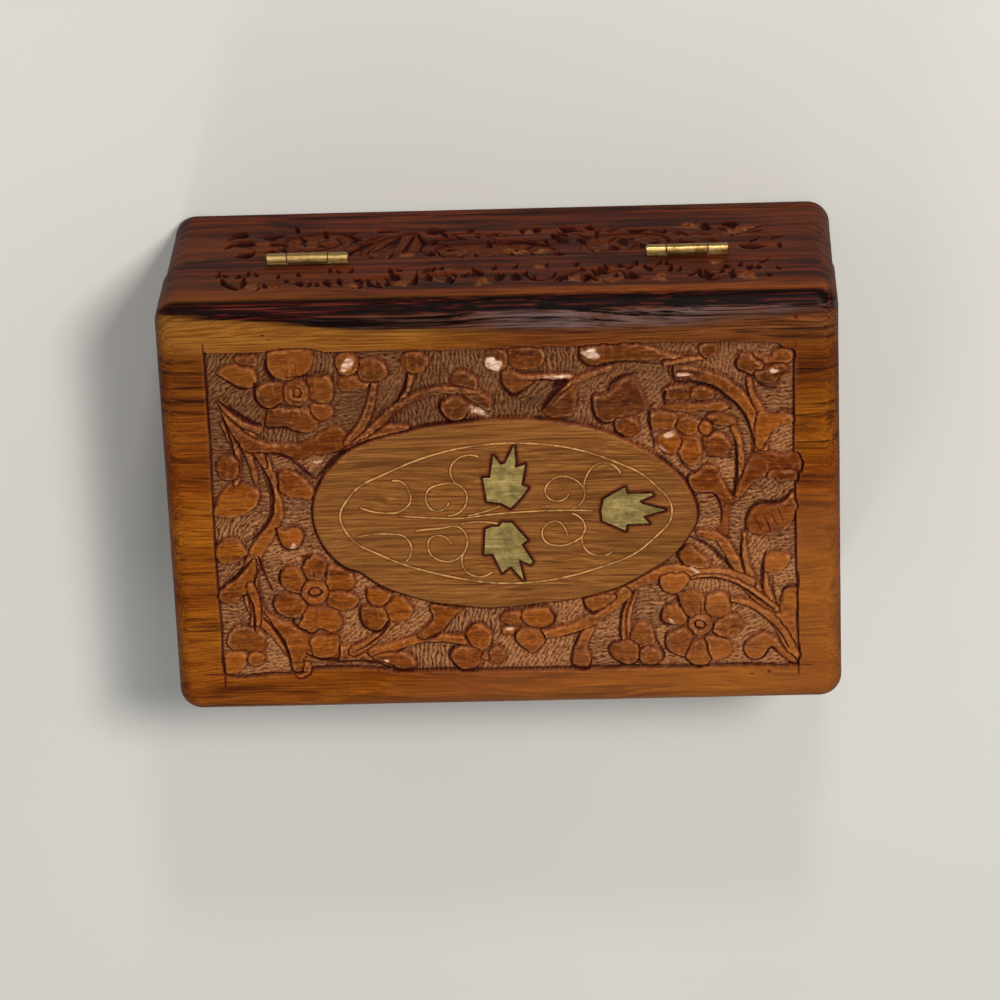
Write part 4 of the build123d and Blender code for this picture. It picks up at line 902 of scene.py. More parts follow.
class Value:
    """A node's output. Sums written with it add the nodes that work them out."""

    def __init__(self, nodes, socket):
        self.nodes, self.socket = nodes, socket

    def __add__(self, other):
        return self.nodes.maths("ADD", self, other)

    def __sub__(self, other):
        return self.nodes.maths("SUBTRACT", self, other)

    def __rsub__(self, other):
        return self.nodes.maths("SUBTRACT", other, self)

    def __mul__(self, other):
        return self.nodes.maths("MULTIPLY", self, other)

    def __truediv__(self, other):
        return self.nodes.maths("DIVIDE", self, other)

    def __abs__(self):
        return self.nodes.maths("ABSOLUTE", self)

    def clamped(self):
        self.socket.node.use_clamp = True
        return self

    def ramp(self, *stops):
        """A level or colour that changes evenly between stops of (place, level), held at the ends."""
        node = self.nodes.tree.nodes.new("ShaderNodeValToRGB")
        elements = node.color_ramp.elements
        while len(elements) < len(stops):
            elements.new(0.5)
        for element, (place, level) in zip(elements, stops):
            element.position = place
            element.color = srgb(*level) if isinstance(level, tuple) else (level, level, level, 1)
        self.nodes.put(node.inputs[0], self)
        return Value(self.nodes, node.outputs[0])

    def painted(self, *coats):
        """This colour under coats of (mask, colour), put on in turn. A mask of 1 covers."""
        colour = self
        for mask, coat in coats:
            node = self.nodes.tree.nodes.new("ShaderNodeMix")
            node.data_type = "RGBA"
            for socket, value in zip((node.inputs[0], node.inputs[6], node.inputs[7]), (mask, colour, coat)):
                self.nodes.put(socket, srgb(*value) if isinstance(value, tuple) else value)
            colour = Value(self.nodes, node.outputs[2])
        return colour


class Nodes:
    """A material's node tree, built by short calls."""

    def __init__(self, name):
        self.material = bpy.data.materials.new(name)
        self.material.use_nodes = True
        self.tree = self.material.node_tree
        self.principled = self.tree.nodes["Principled BSDF"]
        self.place = self.add("ShaderNodeTexCoord", out=3)

    def put(self, socket, value):
        if isinstance(value, Value):
            self.tree.links.new(value.socket, socket)
        else:
            socket.default_value = value

    def add(self, kind, *values, out=0, **settings):
        node = self.tree.nodes.new(kind)
        for key, value in settings.items():
            setattr(node, key, value)
        for socket, value in zip([s for s in node.inputs if s.enabled], values):
            self.put(socket, value)
        return Value(self, [s for s in node.outputs if s.enabled][out])

    def maths(self, operation, *values):
        return self.add("ShaderNodeMath", *values, operation=operation)

    def split(self, kind, value):
        """The three channels of a vector or colour."""
        return [self.add("ShaderNodeSeparate" + kind, value, out=k) for k in range(3)]

    def scaled(self, vector, scale):
        return self.add("ShaderNodeVectorMath", vector, scale, operation="MULTIPLY")

    def noise(self, vector, scale, detail=2.0, roughness=0.5):
        """Cloudy values from 0 to 1, with the scale given per axis or once for all three."""
        scale = scale if isinstance(scale, tuple) else (scale, scale, scale)
        return self.add("ShaderNodeTexNoise", self.scaled(vector, scale), 1.0, detail, roughness)

    def bump(self, height, strength, distance, *under):
        node = self.tree.nodes.new("ShaderNodeBump")
        node.inputs["Strength"].default_value = strength
        node.inputs["Distance"].default_value = distance
        for name, value in zip(("Height", "Normal"), (height, *under)):
            self.put(node.inputs[name], value)
        return Value(self, node.outputs[0])

    def surface(self, **inputs):
        for name, value in inputs.items():
            self.put(self.principled.inputs[name.replace("_", " ")], value)
        return self.material


class Wood(Nodes):
    """Oiled rosewood with its grain along X or Y.

    x, y and z are in mm. across, depth and height are the same places brought to the 0 to 1 of a ramp."""

    def __init__(self, along):
        super().__init__("rosewood_along_" + along.lower())
        x, y, z = self.split("XYZ", self.scaled(self.place, (1000, 1000, 1000)))
        self.x, self.y = x, y
        self.across, self.depth, self.height = x / 200.0 + 0.5, y / 100.0, z / 100.0
        self.off_middle = abs(x) / 100.0

        grain = self.add("ShaderNodeCombineXYZ", *((x, y, z) if along == "X" else (y, x, z)))
        sway = (self.noise(grain, (0.014, 0.05, 0.05)) - 0.5) * 9.0
        sway = self.add("ShaderNodeCombineXYZ", 0.0, sway, sway)
        grain = self.add("ShaderNodeVectorMath", grain, sway, operation="ADD")
        self.band = self.noise(grain, (0.011, 0.11, 0.11), 3)
        self.coarse = self.noise(grain, (0.02, 0.55, 0.55), 4, 0.6)
        self.streak = self.noise(grain, (0.022, 0.5, 0.5), 4, 0.62)
        self.lines = self.noise(grain, (0.014, 1.5, 1.5), 3, 0.62)
        self.fine = self.noise(grain, (0.07, 2.6, 2.6), 3, 0.6)
        self.pores = self.noise(grain, (0.45, 6.5, 6.5)).ramp((0.30, 1.0), (0.39, 0.0))
        self.blotch = self.noise(grain, (0.035, 0.07, 0.07))
        self.speck = self.noise(self.place, 900, 3, 0.65)
        self.dark_streak = self.streak.ramp((0.36, 1.0), (0.43, 0.35), (0.52, 0.0))
        self.right = self.across.ramp((0.36, 0.0), (0.56, 1.0))
        self.side = self.height.ramp((0.535, 1.0), (0.577, 0.0))
        self.on_top = 1.0 - self.side

        carving = self.add("ShaderNodeAttribute", attribute_name="carving")
        tooling = self.add("ShaderNodeAttribute", attribute_name="tooling")
        self.groove, self.ground, self.field = self.split("Color", carving)
        self.tone, self.phase, self.pricked = self.split("Color", tooling)
        self.crest = self.add("ShaderNodeAttribute", attribute_name="crest", out=2)
        self.formed = self.add("ShaderNodeAttribute", attribute_name="formed", out=2)

    def top_colour(self):
        """Gold-brown bands with dark streaks, fine lines and pores, and painted shade toward the back."""
        fine = self.fine
        # painted shade: the top darkened toward the back
        painted_shade_toward_back = self.depth + self.blotch * 0.25
        colour = self.band.ramp(
            (0.30, (108, 48, 4)), (0.46, (136, 70, 8)), (0.60, (156, 88, 16)), (0.74, (130, 62, 6))
        )
        return colour.painted(
            (self.blotch.ramp((0.44, 0.0), (0.62, 0.5)), (120, 50, 8)),
            (self.dark_streak * 0.85, (58, 20, 4)),
            (fine.ramp((0.36, 0.6), (0.48, 0.2), (0.62, 0.0)), (68, 26, 4)),
            (fine.ramp((0.54, 0.0), (0.7, 0.3)), (184, 112, 30)),
            (self.pores * 0.45, (56, 22, 6)),
            (self.speck.ramp((0.3, 0.25), (0.45, 0.0)), (64, 26, 8)),
            (painted_shade_toward_back.ramp((0.22, 0.0), (0.55, 0.5)), (62, 30, 12)),
        )

    def side_colour(self):
        """Dark red-brown bands, warmer just under the lid and darker at the box's ends. The walls are painted
        darker than the top partly as painted shade, and the darkening at the rounded ends is painted shade.
        """
        fine, coarse = self.fine, self.coarse
        warm = self.band.ramp((0.5, 0.0), (0.6, 0.75)) * self.height.ramp((0.49, 0.4), (0.52, 1.0))
        ends = self.off_middle.ramp((0.70, 0.0), (0.745, 0.5))
        colour = coarse.ramp(
            (0.34, (15, 3, 2)), (0.43, (42, 10, 5)), (0.52, (70, 22, 7)), (0.62, (98, 38, 11)),
            (0.76, (54, 14, 7)),
        )
        return colour.painted(
            (warm, (112, 54, 16)),
            (fine.ramp((0.34, 0.5), (0.46, 0.0)), (22, 6, 5)),
            (fine.ramp((0.56, 0.0), (0.7, 0.35)), (112, 58, 26)),
            # painted shade on the rounded ends
            (ends * coarse.ramp((0.4, 1.0), (0.6, 0.2)), (30, 15, 16)),
        )

    def back_edge(self, colour):
        """Dark heartwood along the lid's back edge, with a painted satin highlight on it where the edge turns
        over.
        """
        fine, lines, across, depth, height = self.fine, self.lines, self.across, self.depth, self.height
        lid_edge = height.ramp((0.541, 0.0), (0.556, 1.0))
        dip = across.ramp(
            (0.15, 0.0), (0.28, 0.5), (0.37, 0.9), (0.50, 1.0), (0.72, 1.0), (0.78, 0.65), (0.85, 0.42)
        )
        border = depth + (self.streak - 0.5) * 0.03 + dip * 0.045
        heart = border.ramp((0.474, 0.0), (0.479, 1.0)) * lid_edge
        heart_colour = lines.ramp(
            (0.38, (8, 2, 2)), (0.5, (24, 6, 4)), (0.58, (66, 15, 9)), (0.7, (98, 44, 26))
        )
        border_line = border.ramp((0.466, 0.0), (0.473, 0.9), (0.480, 0.0)) * lid_edge
        rim_lines = (
            self.off_middle.ramp((0.63, 0.15), (0.67, 0.6)) * depth.ramp((0.0, 0.55), (0.12, 1.0))
            * lines.ramp((0.36, 1.0), (0.43, 0.0)) * self.on_top
        )
        turning = depth + (self.streak - 0.5) * 0.012
        line_under = (
            turning.ramp((0.474, 0.0), (0.481, 0.9)) * height.ramp((0.55, 0.0), (0.56, 1.0))
            * lines.ramp((0.5, 1.0), (0.62, 0.3)) * across.ramp((0.3, 0.35), (0.5, 1.0))
        )
        satin = heart * turning.ramp((0.470, 1.0), (0.479, 0.0))
        # painted highlight: greyish satin streaks where the edge turns over
        painted_satin_highlight = (
            satin * across.ramp((0.26, 0.0), (0.40, 0.6), (0.56, 0.95), (0.80, 0.95), (0.86, 0.6))
            * lines.ramp((0.41, 0.0), (0.5, 0.5), (0.6, 0.95)) * fine.ramp((0.36, 0.35), (0.5, 1.0))
        )
        painted_satin_colour = self.blotch.ramp((0.45, (104, 72, 56)), (0.55, (106, 86, 82)))
        warm_band = (
            height.ramp((0.512, 0.0), (0.526, 0.75), (0.548, 0.75), (0.556, 0.0)) * self.right
            * fine.ramp((0.38, 0.4), (0.55, 1.0)) * depth.ramp((0.495, 0.0), (0.5, 1.0))
        )
        return heart, satin, colour.painted(
            (heart, heart_colour),
            (border_line, (34, 10, 6)),
            (rim_lines, (30, 9, 4)),
            (line_under, (10, 3, 3)),
            (painted_satin_highlight, painted_satin_colour),
            (warm_band, (132, 66, 20)),
        )

    def borders(self, colour, heart):
        """The lid's border: dull at the back right, golden at the back left, with single dark streaks."""
        fine, depth = self.fine, self.depth
        light_wood = 1.0 - heart
        dull = (
            depth.ramp((0.38, 0.0), (0.42, 0.7)) * self.across.ramp((0.45, 0.0), (0.65, 1.0))
            * light_wood * self.on_top
        )
        front_right = (self.x / 200.0 - depth).ramp((0.28, 0.0), (0.42, 0.36)) * self.on_top
        wander = (self.streak - 0.5) * 3.0
        streaks = 0.0
        for from_x, to_x, y, half_width in DARK_STREAKS:
            ends = self.maths("MINIMUM", self.x - from_x, to_x - self.x) / STREAK_FADE
            line = 1.3 - abs(self.y + wander - y) / half_width
            streaks = self.maths("MAXIMUM", streaks, line.clamped() * ends.clamped())
        streaks = streaks * self.height.ramp((0.50, 0.0), (0.56, 1.0)) * fine.ramp((0.4, 1.0), (0.62, 0.35))
        gold = (
            (depth + self.blotch * 0.06).ramp((0.40, 0.0), (0.44, 0.42))
            * self.across.ramp((0.4, 1.0), (0.52, 0.0)) * light_wood * self.on_top
        )
        return colour.painted(
            (dull, fine.ramp((0.38, (58, 26, 14)), (0.6, (122, 72, 38)))),
            (front_right, (146, 88, 46)),
            (streaks * 0.85, (28, 8, 4)),
            (gold, fine.ramp((0.4, (134, 80, 28)), (0.6, (190, 130, 52)))),
        )

    def carved(self, colour):
        """The carving's colours: toned forms, the chiselled ground in unfinished wood with painted shade and
        highlight on its tool marks, worn crests with a painted highlight, painted glints, dark cuts with
        painted shade in the recesses, and painted shade toward the back left.
        """
        fine, speck, ground, formed = self.fine, self.speck, self.ground, self.formed
        flake = self.noise(self.place, (260, 1500, 1500), 4, 0.72)
        pale = fine.ramp((0.36, (104, 63, 28)), (0.56, (136, 88, 42))).painted(
            (self.dark_streak * 0.5, (80, 42, 18)),
            (fine.ramp((0.56, 0.0), (0.7, 0.35)), (184, 132, 76)),
            (self.pores * 0.5, (78, 42, 16)),
            (self.lines.ramp((0.36, 0.6), (0.42, 0.0)), (66, 36, 18)),
        )
        wobble = self.noise(self.place, 1000) * 0.85
        stroke = 1.0 - abs(self.maths("SINE", (self.phase + wobble) * math.pi))
        pricks = self.noise(self.place, 1500).ramp((0.35, 0.2), (0.65, 0.8))
        stroke = stroke.painted((self.pricked * 0.55, pricks))
        # the chisel marks painted dark in their valleys and pale on their crests: painted shade and highlight
        # on the tool marks, with pale specks of dust and painted highlight
        ground_with_painted_light = stroke.ramp((0.0, (34, 10, 5)), (0.28, (92, 42, 16)), (0.6, (198, 136, 82))).painted(
            (self.dark_streak * 0.4, (84, 40, 20)),
            (speck.ramp((0.4, 0.0), (0.6, 0.35)), (192, 152, 112)),
            (self.side * 0.75, (104, 40, 12)),
        )
        # painted shade: carved places darkened toward the back left
        painted_shade_back_left = (
            self.maths("MAXIMUM", ground, formed * 0.6)
            * (self.depth - self.x / 500.0).ramp((0.06, 0.0), (0.30, 0.44))
        )
        heart_stain = (
            (self.depth + self.blotch * 0.04).ramp((0.20, 0.0), (0.23, 1.0), (0.34, 1.0), (0.36, 0.0))
            * self.across.ramp((0.28, 0.0), (0.36, 1.0), (0.70, 1.0), (0.78, 0.0))
            * self.streak.ramp((0.42, 1.0), (0.6, 0.5)) * (formed * 0.4 + ground * 0.28)
        )
        # worn crests: wear and a painted highlight along the ridges
        worn_and_lit_crest = (
            self.maths("MINIMUM", self.crest, 1.0) * speck.ramp((0.4, 0.15), (0.6, 0.7))
            * (1.0 - self.side * 0.6)
        )
        # painted glints: where crest passes 1 the wood turns pinkish white; unstained facets share this mask
        bare_and_glint = (self.crest - 1.0).clamped() * speck.ramp((0.3, 0.6), (0.5, 0.95))
        groove = (self.groove * speck.ramp((0.25, 0.8), (0.6, 1.0))).clamped()
        # dark maroon staining in the cuts, with painted shade in the recesses
        stain_and_recess_shade = groove.ramp((0.35, (94, 20, 14)), (0.8, (42, 4, 7))).painted((self.side * 0.7, (26, 5, 4)))
        return stroke, colour.painted(
            ((self.tone * 1.1).clamped(), (158, 84, 26)),
            ((self.tone * -1.1).clamped(), (80, 34, 12)),
            # light flecks on the forms are painted highlight strokes; the dark flecks below are nicks
            (formed * flake.ramp((0.55, 0.0), (0.68, 0.5)), (182, 100, 46)),
            (formed * flake.ramp((0.36, 0.6), (0.46, 0.0)), (66, 24, 9)),
            (self.field * 0.85, pale),
            (ground * 0.85, ground_with_painted_light),
            (painted_shade_back_left, (52, 24, 10)),
            (heart_stain, (46, 24, 18)),
            (worn_and_lit_crest, (206, 138, 88)),
            (bare_and_glint, flake.ramp((0.4, (176, 124, 92)), (0.62, (238, 214, 196)))),
            (groove, stain_and_recess_shade),
        )

    def finish(self):
        colour = self.top_colour().painted(
            (self.side * 0.94, self.side_colour()),
            # painted shade: the lowest millimetres of the box darkened almost to black
            (self.height.ramp((0.012, 0.9), (0.028, 0.0)), (18, 10, 8)),
        )
        heart, satin, colour = self.back_edge(colour)
        stroke, colour = self.carved(self.borders(colour, heart))
        worked = self.maths("MAXIMUM", self.ground, self.groove)
        rough = self.fine * 0.16 + self.side * 0.16 + 0.28 + worked * 0.25 - satin * 0.16
        normal = self.bump(self.fine * 0.6 + self.pores * -0.5, 0.35, 0.00012)
        normal = self.bump(stroke * self.ground, 0.7, 0.00035, normal)
        return self.surface(Base_Color=colour, Roughness=rough, Normal=normal, IOR=1.12)


def sheet_brass():
    """Inlay brass filed flush: dull olive gold with fine file lines, scratches and a little tarnish."""
    n = Nodes("inlay_sheet_brass")
    lines = n.noise(n.place, (220, 2300, 400), 3, 0.6)
    scratch = n.noise(n.place, (260, 5200, 400))
    cloud = n.noise(n.place, 320, 4, 0.65)
    colour = cloud.ramp((0.32, (104, 86, 40)), (0.66, (166, 142, 80))).painted(
        (lines.ramp((0.34, 0.45), (0.5, 0.0)), (88, 72, 36)),
        (lines.ramp((0.58, 0.0), (0.7, 0.35)), (226, 206, 146)),
    )
    normal = n.bump(scratch, 0.3, 0.00008)
    return n.surface(Base_Color=colour, Metallic=0.6, Roughness=lines * 0.25 + 0.34, Normal=normal)


def wire_brass():
    """Thin brass wire, hammered in and rubbed bright in places."""
    n = Nodes("inlay_wire_brass")
    cloud = n.noise(n.place, 420, 3, 0.6)
    colour = cloud.ramp((0.38, (136, 98, 46)), (0.62, (206, 160, 88)))
    normal = n.bump(cloud, 0.3, 0.0001)
    return n.surface(Base_Color=colour, Metallic=0.55, Roughness=cloud * 0.3 + 0.25, Normal=normal)


def hinge_brass(name, low, high):
    """Pressed brass, polished on the high places, tarnished brown between, with painted shade on its far side
    and a painted shadow line along its near edge.
    """
    n = Nodes(name)
    cloud = n.noise(n.place, 330, 4, 0.6)
    lines = n.noise(n.place, (160, 2400, 2400))
    depth = n.split("XYZ", n.place)[1] * 10.0
    colour = cloud.ramp((0.36, low), (0.56, high)).painted(
        (lines.ramp((0.32, 0.6), (0.5, 0.0)), (112, 74, 32)),
        # painted shade: the far side of the knuckles olive dark
        ((depth + cloud * 0.004).ramp((0.5265, 0.0), (0.530, 0.85)), (92, 72, 26)),
        # painted shadow: a dark strip along the near edge below the knuckles
        (depth.ramp((0.506, 0.0), (0.5075, 0.8), (0.511, 0.8), (0.512, 0.0)), (60, 40, 18)),
    )
    normal = n.bump(lines, 0.25, 0.0001)
    return n.surface(Base_Color=colour, Metallic=0.7, Roughness=cloud * -0.2 + 0.36, Normal=normal)


def velvet():
    """Dark red velvet, its pile brushed this way and that."""
    n = Nodes("velvet_lining")
    pile = n.noise(n.place, 3200)
    brushed = n.noise(n.place, (38, 70, 70), 3)
    colour = brushed.ramp((0.38, (74, 8, 14)), (0.62, (122, 20, 28))).painted((pile * 0.35, (40, 2, 6)))
    return n.surface(
        Base_Color=colour, Roughness=0.9, Sheen_Weight=0.8, Sheen_Roughness=0.35,
        Sheen_Tint=srgb(226, 120, 120), Specular_IOR_Level=0.2, Normal=n.bump(pile, 0.6, 0.0004),
    )


WOOD = {along: Wood(along).finish() for along in ("X", "Y")}
SHEET_BRASS, WIRE_BRASS, VELVET = sheet_brass(), wire_brass(), velvet()
HINGE_BRASS = hinge_brass("hinge_brass", (160, 114, 50), (246, 208, 132))
# the pins painted dark so that the gaps between the knuckles show as shade
GAP_SHADE_PIN_BRASS = hinge_brass("hinge_pin_brass", (48, 32, 16), (92, 66, 34))

# ---------------------------------------------------------------- the lid's top board

def even_lines(stops):
    """Lattice lines between stops, in whole blocks of about four cells each."""
    lines = [stops[0]]
    for low, high in zip(stops, stops[1:]):
        blocks = max(1, round((high - low) / (BLOCK * CELL)))
        lines += list(np.linspace(low, high, blocks * BLOCK + 1)[1:])
    return lines


VEIN_CUT = (0.24, 0.5, 0.35)  # width, depth and darkness
OVAL_CUT, OVAL_LINE, OVAL_WALL = 1.2, 0.85, 0.45
LEAF_LAC, WIRE_LAC = (0.72, 1.0), (0.24, 0.65)  # reach and darkness


def carve_lid():
    """The lid's carved panel: sunk ground, motifs, raised oval field and the lac round the brass."""
    flat_x, flat_y = BOX_WIDTH / 2 - CORNER, BOX_DEPTH / 2 - CORNER
    relief = Relief(even_lines([-flat_x, flat_x]), even_lines([-flat_y, flat_y]))
    relief.sink(PANEL_OUTLINE, GROUND_DEPTH)
    for kind, *values in LID_MOTIFS:
        look = values.pop() if isinstance(values[-1], dict) else {}
        getattr(relief, kind)(*values, **look)
    for x, y, inner, outer, count, first in FLOWER_VEINS:
        for k in range(count):
            turn = math.radians(first + 360 / count * k)
            far = outer * (0.8 + 0.2 * math.sin(5 * k))
            vein = [(x + r * math.cos(turn), y + r * math.sin(turn)) for r in (inner, (inner + far) / 2, far)]
            relief.cut(vein, *VEIN_CUT)
    oval = smooth_path(OVAL_EDGE, closed=True, steps=5)
    w = relief.window(oval, 2)
    d = outline_distance(relief.x[w], relief.y[w], oval)
    relief.place(w, d, np.zeros(d.shape), OVAL_CUT, OVAL_LINE, OVAL_WALL)
    relief.field[w] = np.clip(0.5 - d / 0.5, 0, 1)
    relief.formed[w] *= 1 - relief.field[w]
    for spot in PAINTED_GLINT_SPOTS:
        relief.painted_glint_spot(*spot)
    for x, y, length in KNOTS:
        relief.gouge(x - length / 2, y, 0, length, 0.55 * length, 0.25, 0.9)
    relief.chisel_ground(GROUND_PATCHES)
    for points, width, depth in SCRIBE_LINES:
        relief.cut(points, width, depth, 0.8)
    for name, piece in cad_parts.items():
        if name.startswith("inlay_"):
            line_with_lac(relief, piece, *(LEAF_LAC if "leaf" in name else WIRE_LAC))
    return relief


def line_with_lac(relief, piece, reach, dark):
    """Dark lac beside a brass piece, in the gap round it."""
    top = BOX_HEIGHT * MM
    for edge in piece.data.edges:
        a, b = (piece.data.vertices[k].co for k in edge.vertices)
        if min(a.z, b.z) < top:
            continue
        path = np.array([a.xy / MM, b.xy / MM])
        w = relief.window(path, reach * 2)
        d = path_distance(relief.x[w], relief.y[w], path)[0]
        near = np.clip(1.6 - d / reach, 0, 1) * dark
        relief.groove[w] = np.maximum(relief.groove[w], near)


def rim_profile(radius, levels=8):
    """Inset and drop of the points round a rounded edge."""
    turns = np.linspace(0, math.pi / 2, levels + 1)
    return [(radius * (1 - math.sin(t)), radius * (1 - math.cos(t))) for t in turns]


def rim_loop(straight_x, straight_y, half_width, half_depth, inset, z, steps=8):
    """A loop round the box: lattice points on the straight sides, and an arc at each corner."""
    radius = CORNER - inset
    middle_x, middle_y = half_width - CORNER, half_depth - CORNER
    turns = np.linspace(0, math.pi / 2, steps + 1)[1:-1]
    loop = []
    sides = (
        (straight_x, -1, 1), (straight_y, 1, 0), (straight_x[::-1], 1, 1), (straight_y[::-1], -1, 0),
    )
    start = -math.pi / 2
    corners = ((middle_x, -middle_y), (middle_x, middle_y), (-middle_x, middle_y), (-middle_x, -middle_y))
    for (line, sign, is_x), (corner_x, corner_y) in zip(sides, corners):
        for place in line:
            if is_x:
                loop.append((place, sign * (middle_y + radius), z))
            else:
                loop.append((sign * (middle_x + radius), place, z))
        for t in start + turns:
            loop.append((corner_x + radius * math.cos(t), corner_y + radius * math.sin(t), z))
        start += math.pi / 2
    return loop


def lid_board():
    """The lid's top board as one closed mesh: carved face, rounded rim, sides and underside."""
    relief = carve_lid()
    patch = Patchwork()
    lattice = np.stack([relief.x, relief.y, BOX_HEIGHT + relief.height], -1).reshape(-1, 3)
    patch.add(*used_points(lattice, sheet_faces(relief), relief.worked()))
    straight_x, straight_y = relief.u[::BLOCK], relief.v[::BLOCK]
    top, bottom = BOX_HEIGHT, BOX_HEIGHT - TOP_BOARD
    levels = [(CORNER, top)] + [(inset, top - drop) for inset, drop in rim_profile(TOP_EDGE)] + [(0, bottom)]
    loops = []
    for inset, z in levels:
        loop = rim_loop(straight_x, straight_y, BOX_WIDTH / 2, BOX_DEPTH / 2, inset, z)
        loops.append(loop + loop[:1])
    patch.grid(loops)
    patch.polygon(loops[-1][:-1])
    return patch.finish("carved_lid_board", shift=worn)


WEAR = (0.14, 0.14, 0.05)  # greatest unevenness along each axis


def worn(points):
    """Slight unevenness of hand-finished wood, always inwards."""
    x, y, z = points.T
    wave = value_noise(x + 0.7 * z, y - 0.4 * z, 17, 71) * 0.6 + value_noise(x - z, y + z, 7, 72) * 0.4
    middle = np.array([0, 0, BOX_HEIGHT / 2])
    reach = np.array([BOX_WIDTH, BOX_DEPTH, BOX_HEIGHT]) / 2
    from_middle = (points - middle) / reach
    pull = -np.sign(from_middle) * np.clip(np.abs(from_middle), 0, 1)**12
    return pull * WEAR * wave[:, None]


# ---------------------------------------------------------------- carved walls

BAND_END, BAND_FOOT, BAND_HEAD = 6.0, 0.9, 0.7  # plain wood left round the bands
NICK_PITCH, NICK_HEIGHT, NICK_SPREAD = 2.3, 44.8, 4.2  # small chips scattered over the lid's band
NICK_CUT = (1.7, 0.6, 0.9)  # width, depth and darkness
VINE_HEIGHT, VINE_SWING, VINE_LENGTH, VINE_SLOPE = 22, 5, 29, 1.08
VINE_CUT = (0.3, 0.5, 0.55)


def carve_band(relief, mirror, limit):
    """The bands of chip carving on a wall: those parts of the layout that fit it, mirrored on two of the
    walls, small nicks between them on the lid, and a running vine with leaf chips on the base."""
    lowest, highest = relief.v[0] + BAND_FOOT, relief.v[-1] - BAND_HEAD

    def fits(points):
        x, z = np.array(points, float).T
        return np.abs(x).max() < limit and z.min() > lowest and z.max() < highest

    def work(tool, points, *values, **look):
        path = np.array(points, float) * (mirror, 1)
        if fits(path):
            tool(path, *values, **look)

    def chip(x, z, *values):
        if fits([(x, z)]):
            relief.gouge(x, z, *values)

    for points in BAND_HOLLOWS:
        work(relief.sink, points, 0.5, 0.5)
    for points in BAND_FORMS:
        work(relief.form, points, line=0.35)
    for points, width, depth in BAND_CUTS:
        work(relief.cut, points, width, depth, 0.95)
    for x, z, angle, length, width in BAND_CHIPS:
        chip(mirror * x, z, angle if mirror > 0 else 180 - angle, 1.05 * length, 1.35 * width, 1.0)
    for k in range(round(BOX_WIDTH / NICK_PITCH)):
        x = -limit + 2 + NICK_PITCH * k
        draw = np.array(x * 3.7), np.array(k * 5.3), 1
        lid_chance, base_chance = value_noise(*draw, 61), value_noise(*draw, 62)
        z = NICK_HEIGHT + NICK_SPREAD * math.sin(2.3 * k + 9 * lid_chance)
        chip(x, z, 270 + 70 * (lid_chance - 0.5), 2.4 + 2.2 * lid_chance, *NICK_CUT)
        turn, hand = 2 * math.pi * x / VINE_LENGTH, 1 if k % 2 else -1
        lean = math.degrees(math.atan(VINE_SLOPE * math.cos(turn))) + hand * (40 + 50 * base_chance)
        z = VINE_HEIGHT + VINE_SWING * math.sin(turn) + 0.5 * hand
        chip(x, z, lean, 2.8 + 2.4 * base_chance, *NICK_CUT)
    vine = np.arange(2 - limit, limit - 1, 2.5)
    vine = np.stack([vine, VINE_HEIGHT + VINE_SWING * np.sin(2 * np.pi * vine / VINE_LENGTH)], -1)
    if fits(vine):
        relief.cut(vine, *VINE_CUT)
    for points in BAND_FACETS:
        work(relief.facet, points, 0.9)


def wall_relief(half_length, z_low, z_high, tall, side):
    """The outer face of a wall, flat between its rounded ends. The lattice has lines at the mortises."""
    stops = [-half_length, half_length]
    if side == "back":
        reach = HINGE_LENGTH / 2 + MORTISE_PLAY
        stops[1:1] = [-HINGE_X - reach, -HINGE_X + reach, HINGE_X - reach, HINGE_X + reach]
    rows = [z_low, z_high - LEAF, z_high] if tall else [z_low, z_low + LEAF, z_high]
    relief = Relief(even_lines(stops), even_lines(rows))
    carve_band(relief, -1 if side in ("front", "left") else 1, half_length - BAND_END)
    return relief


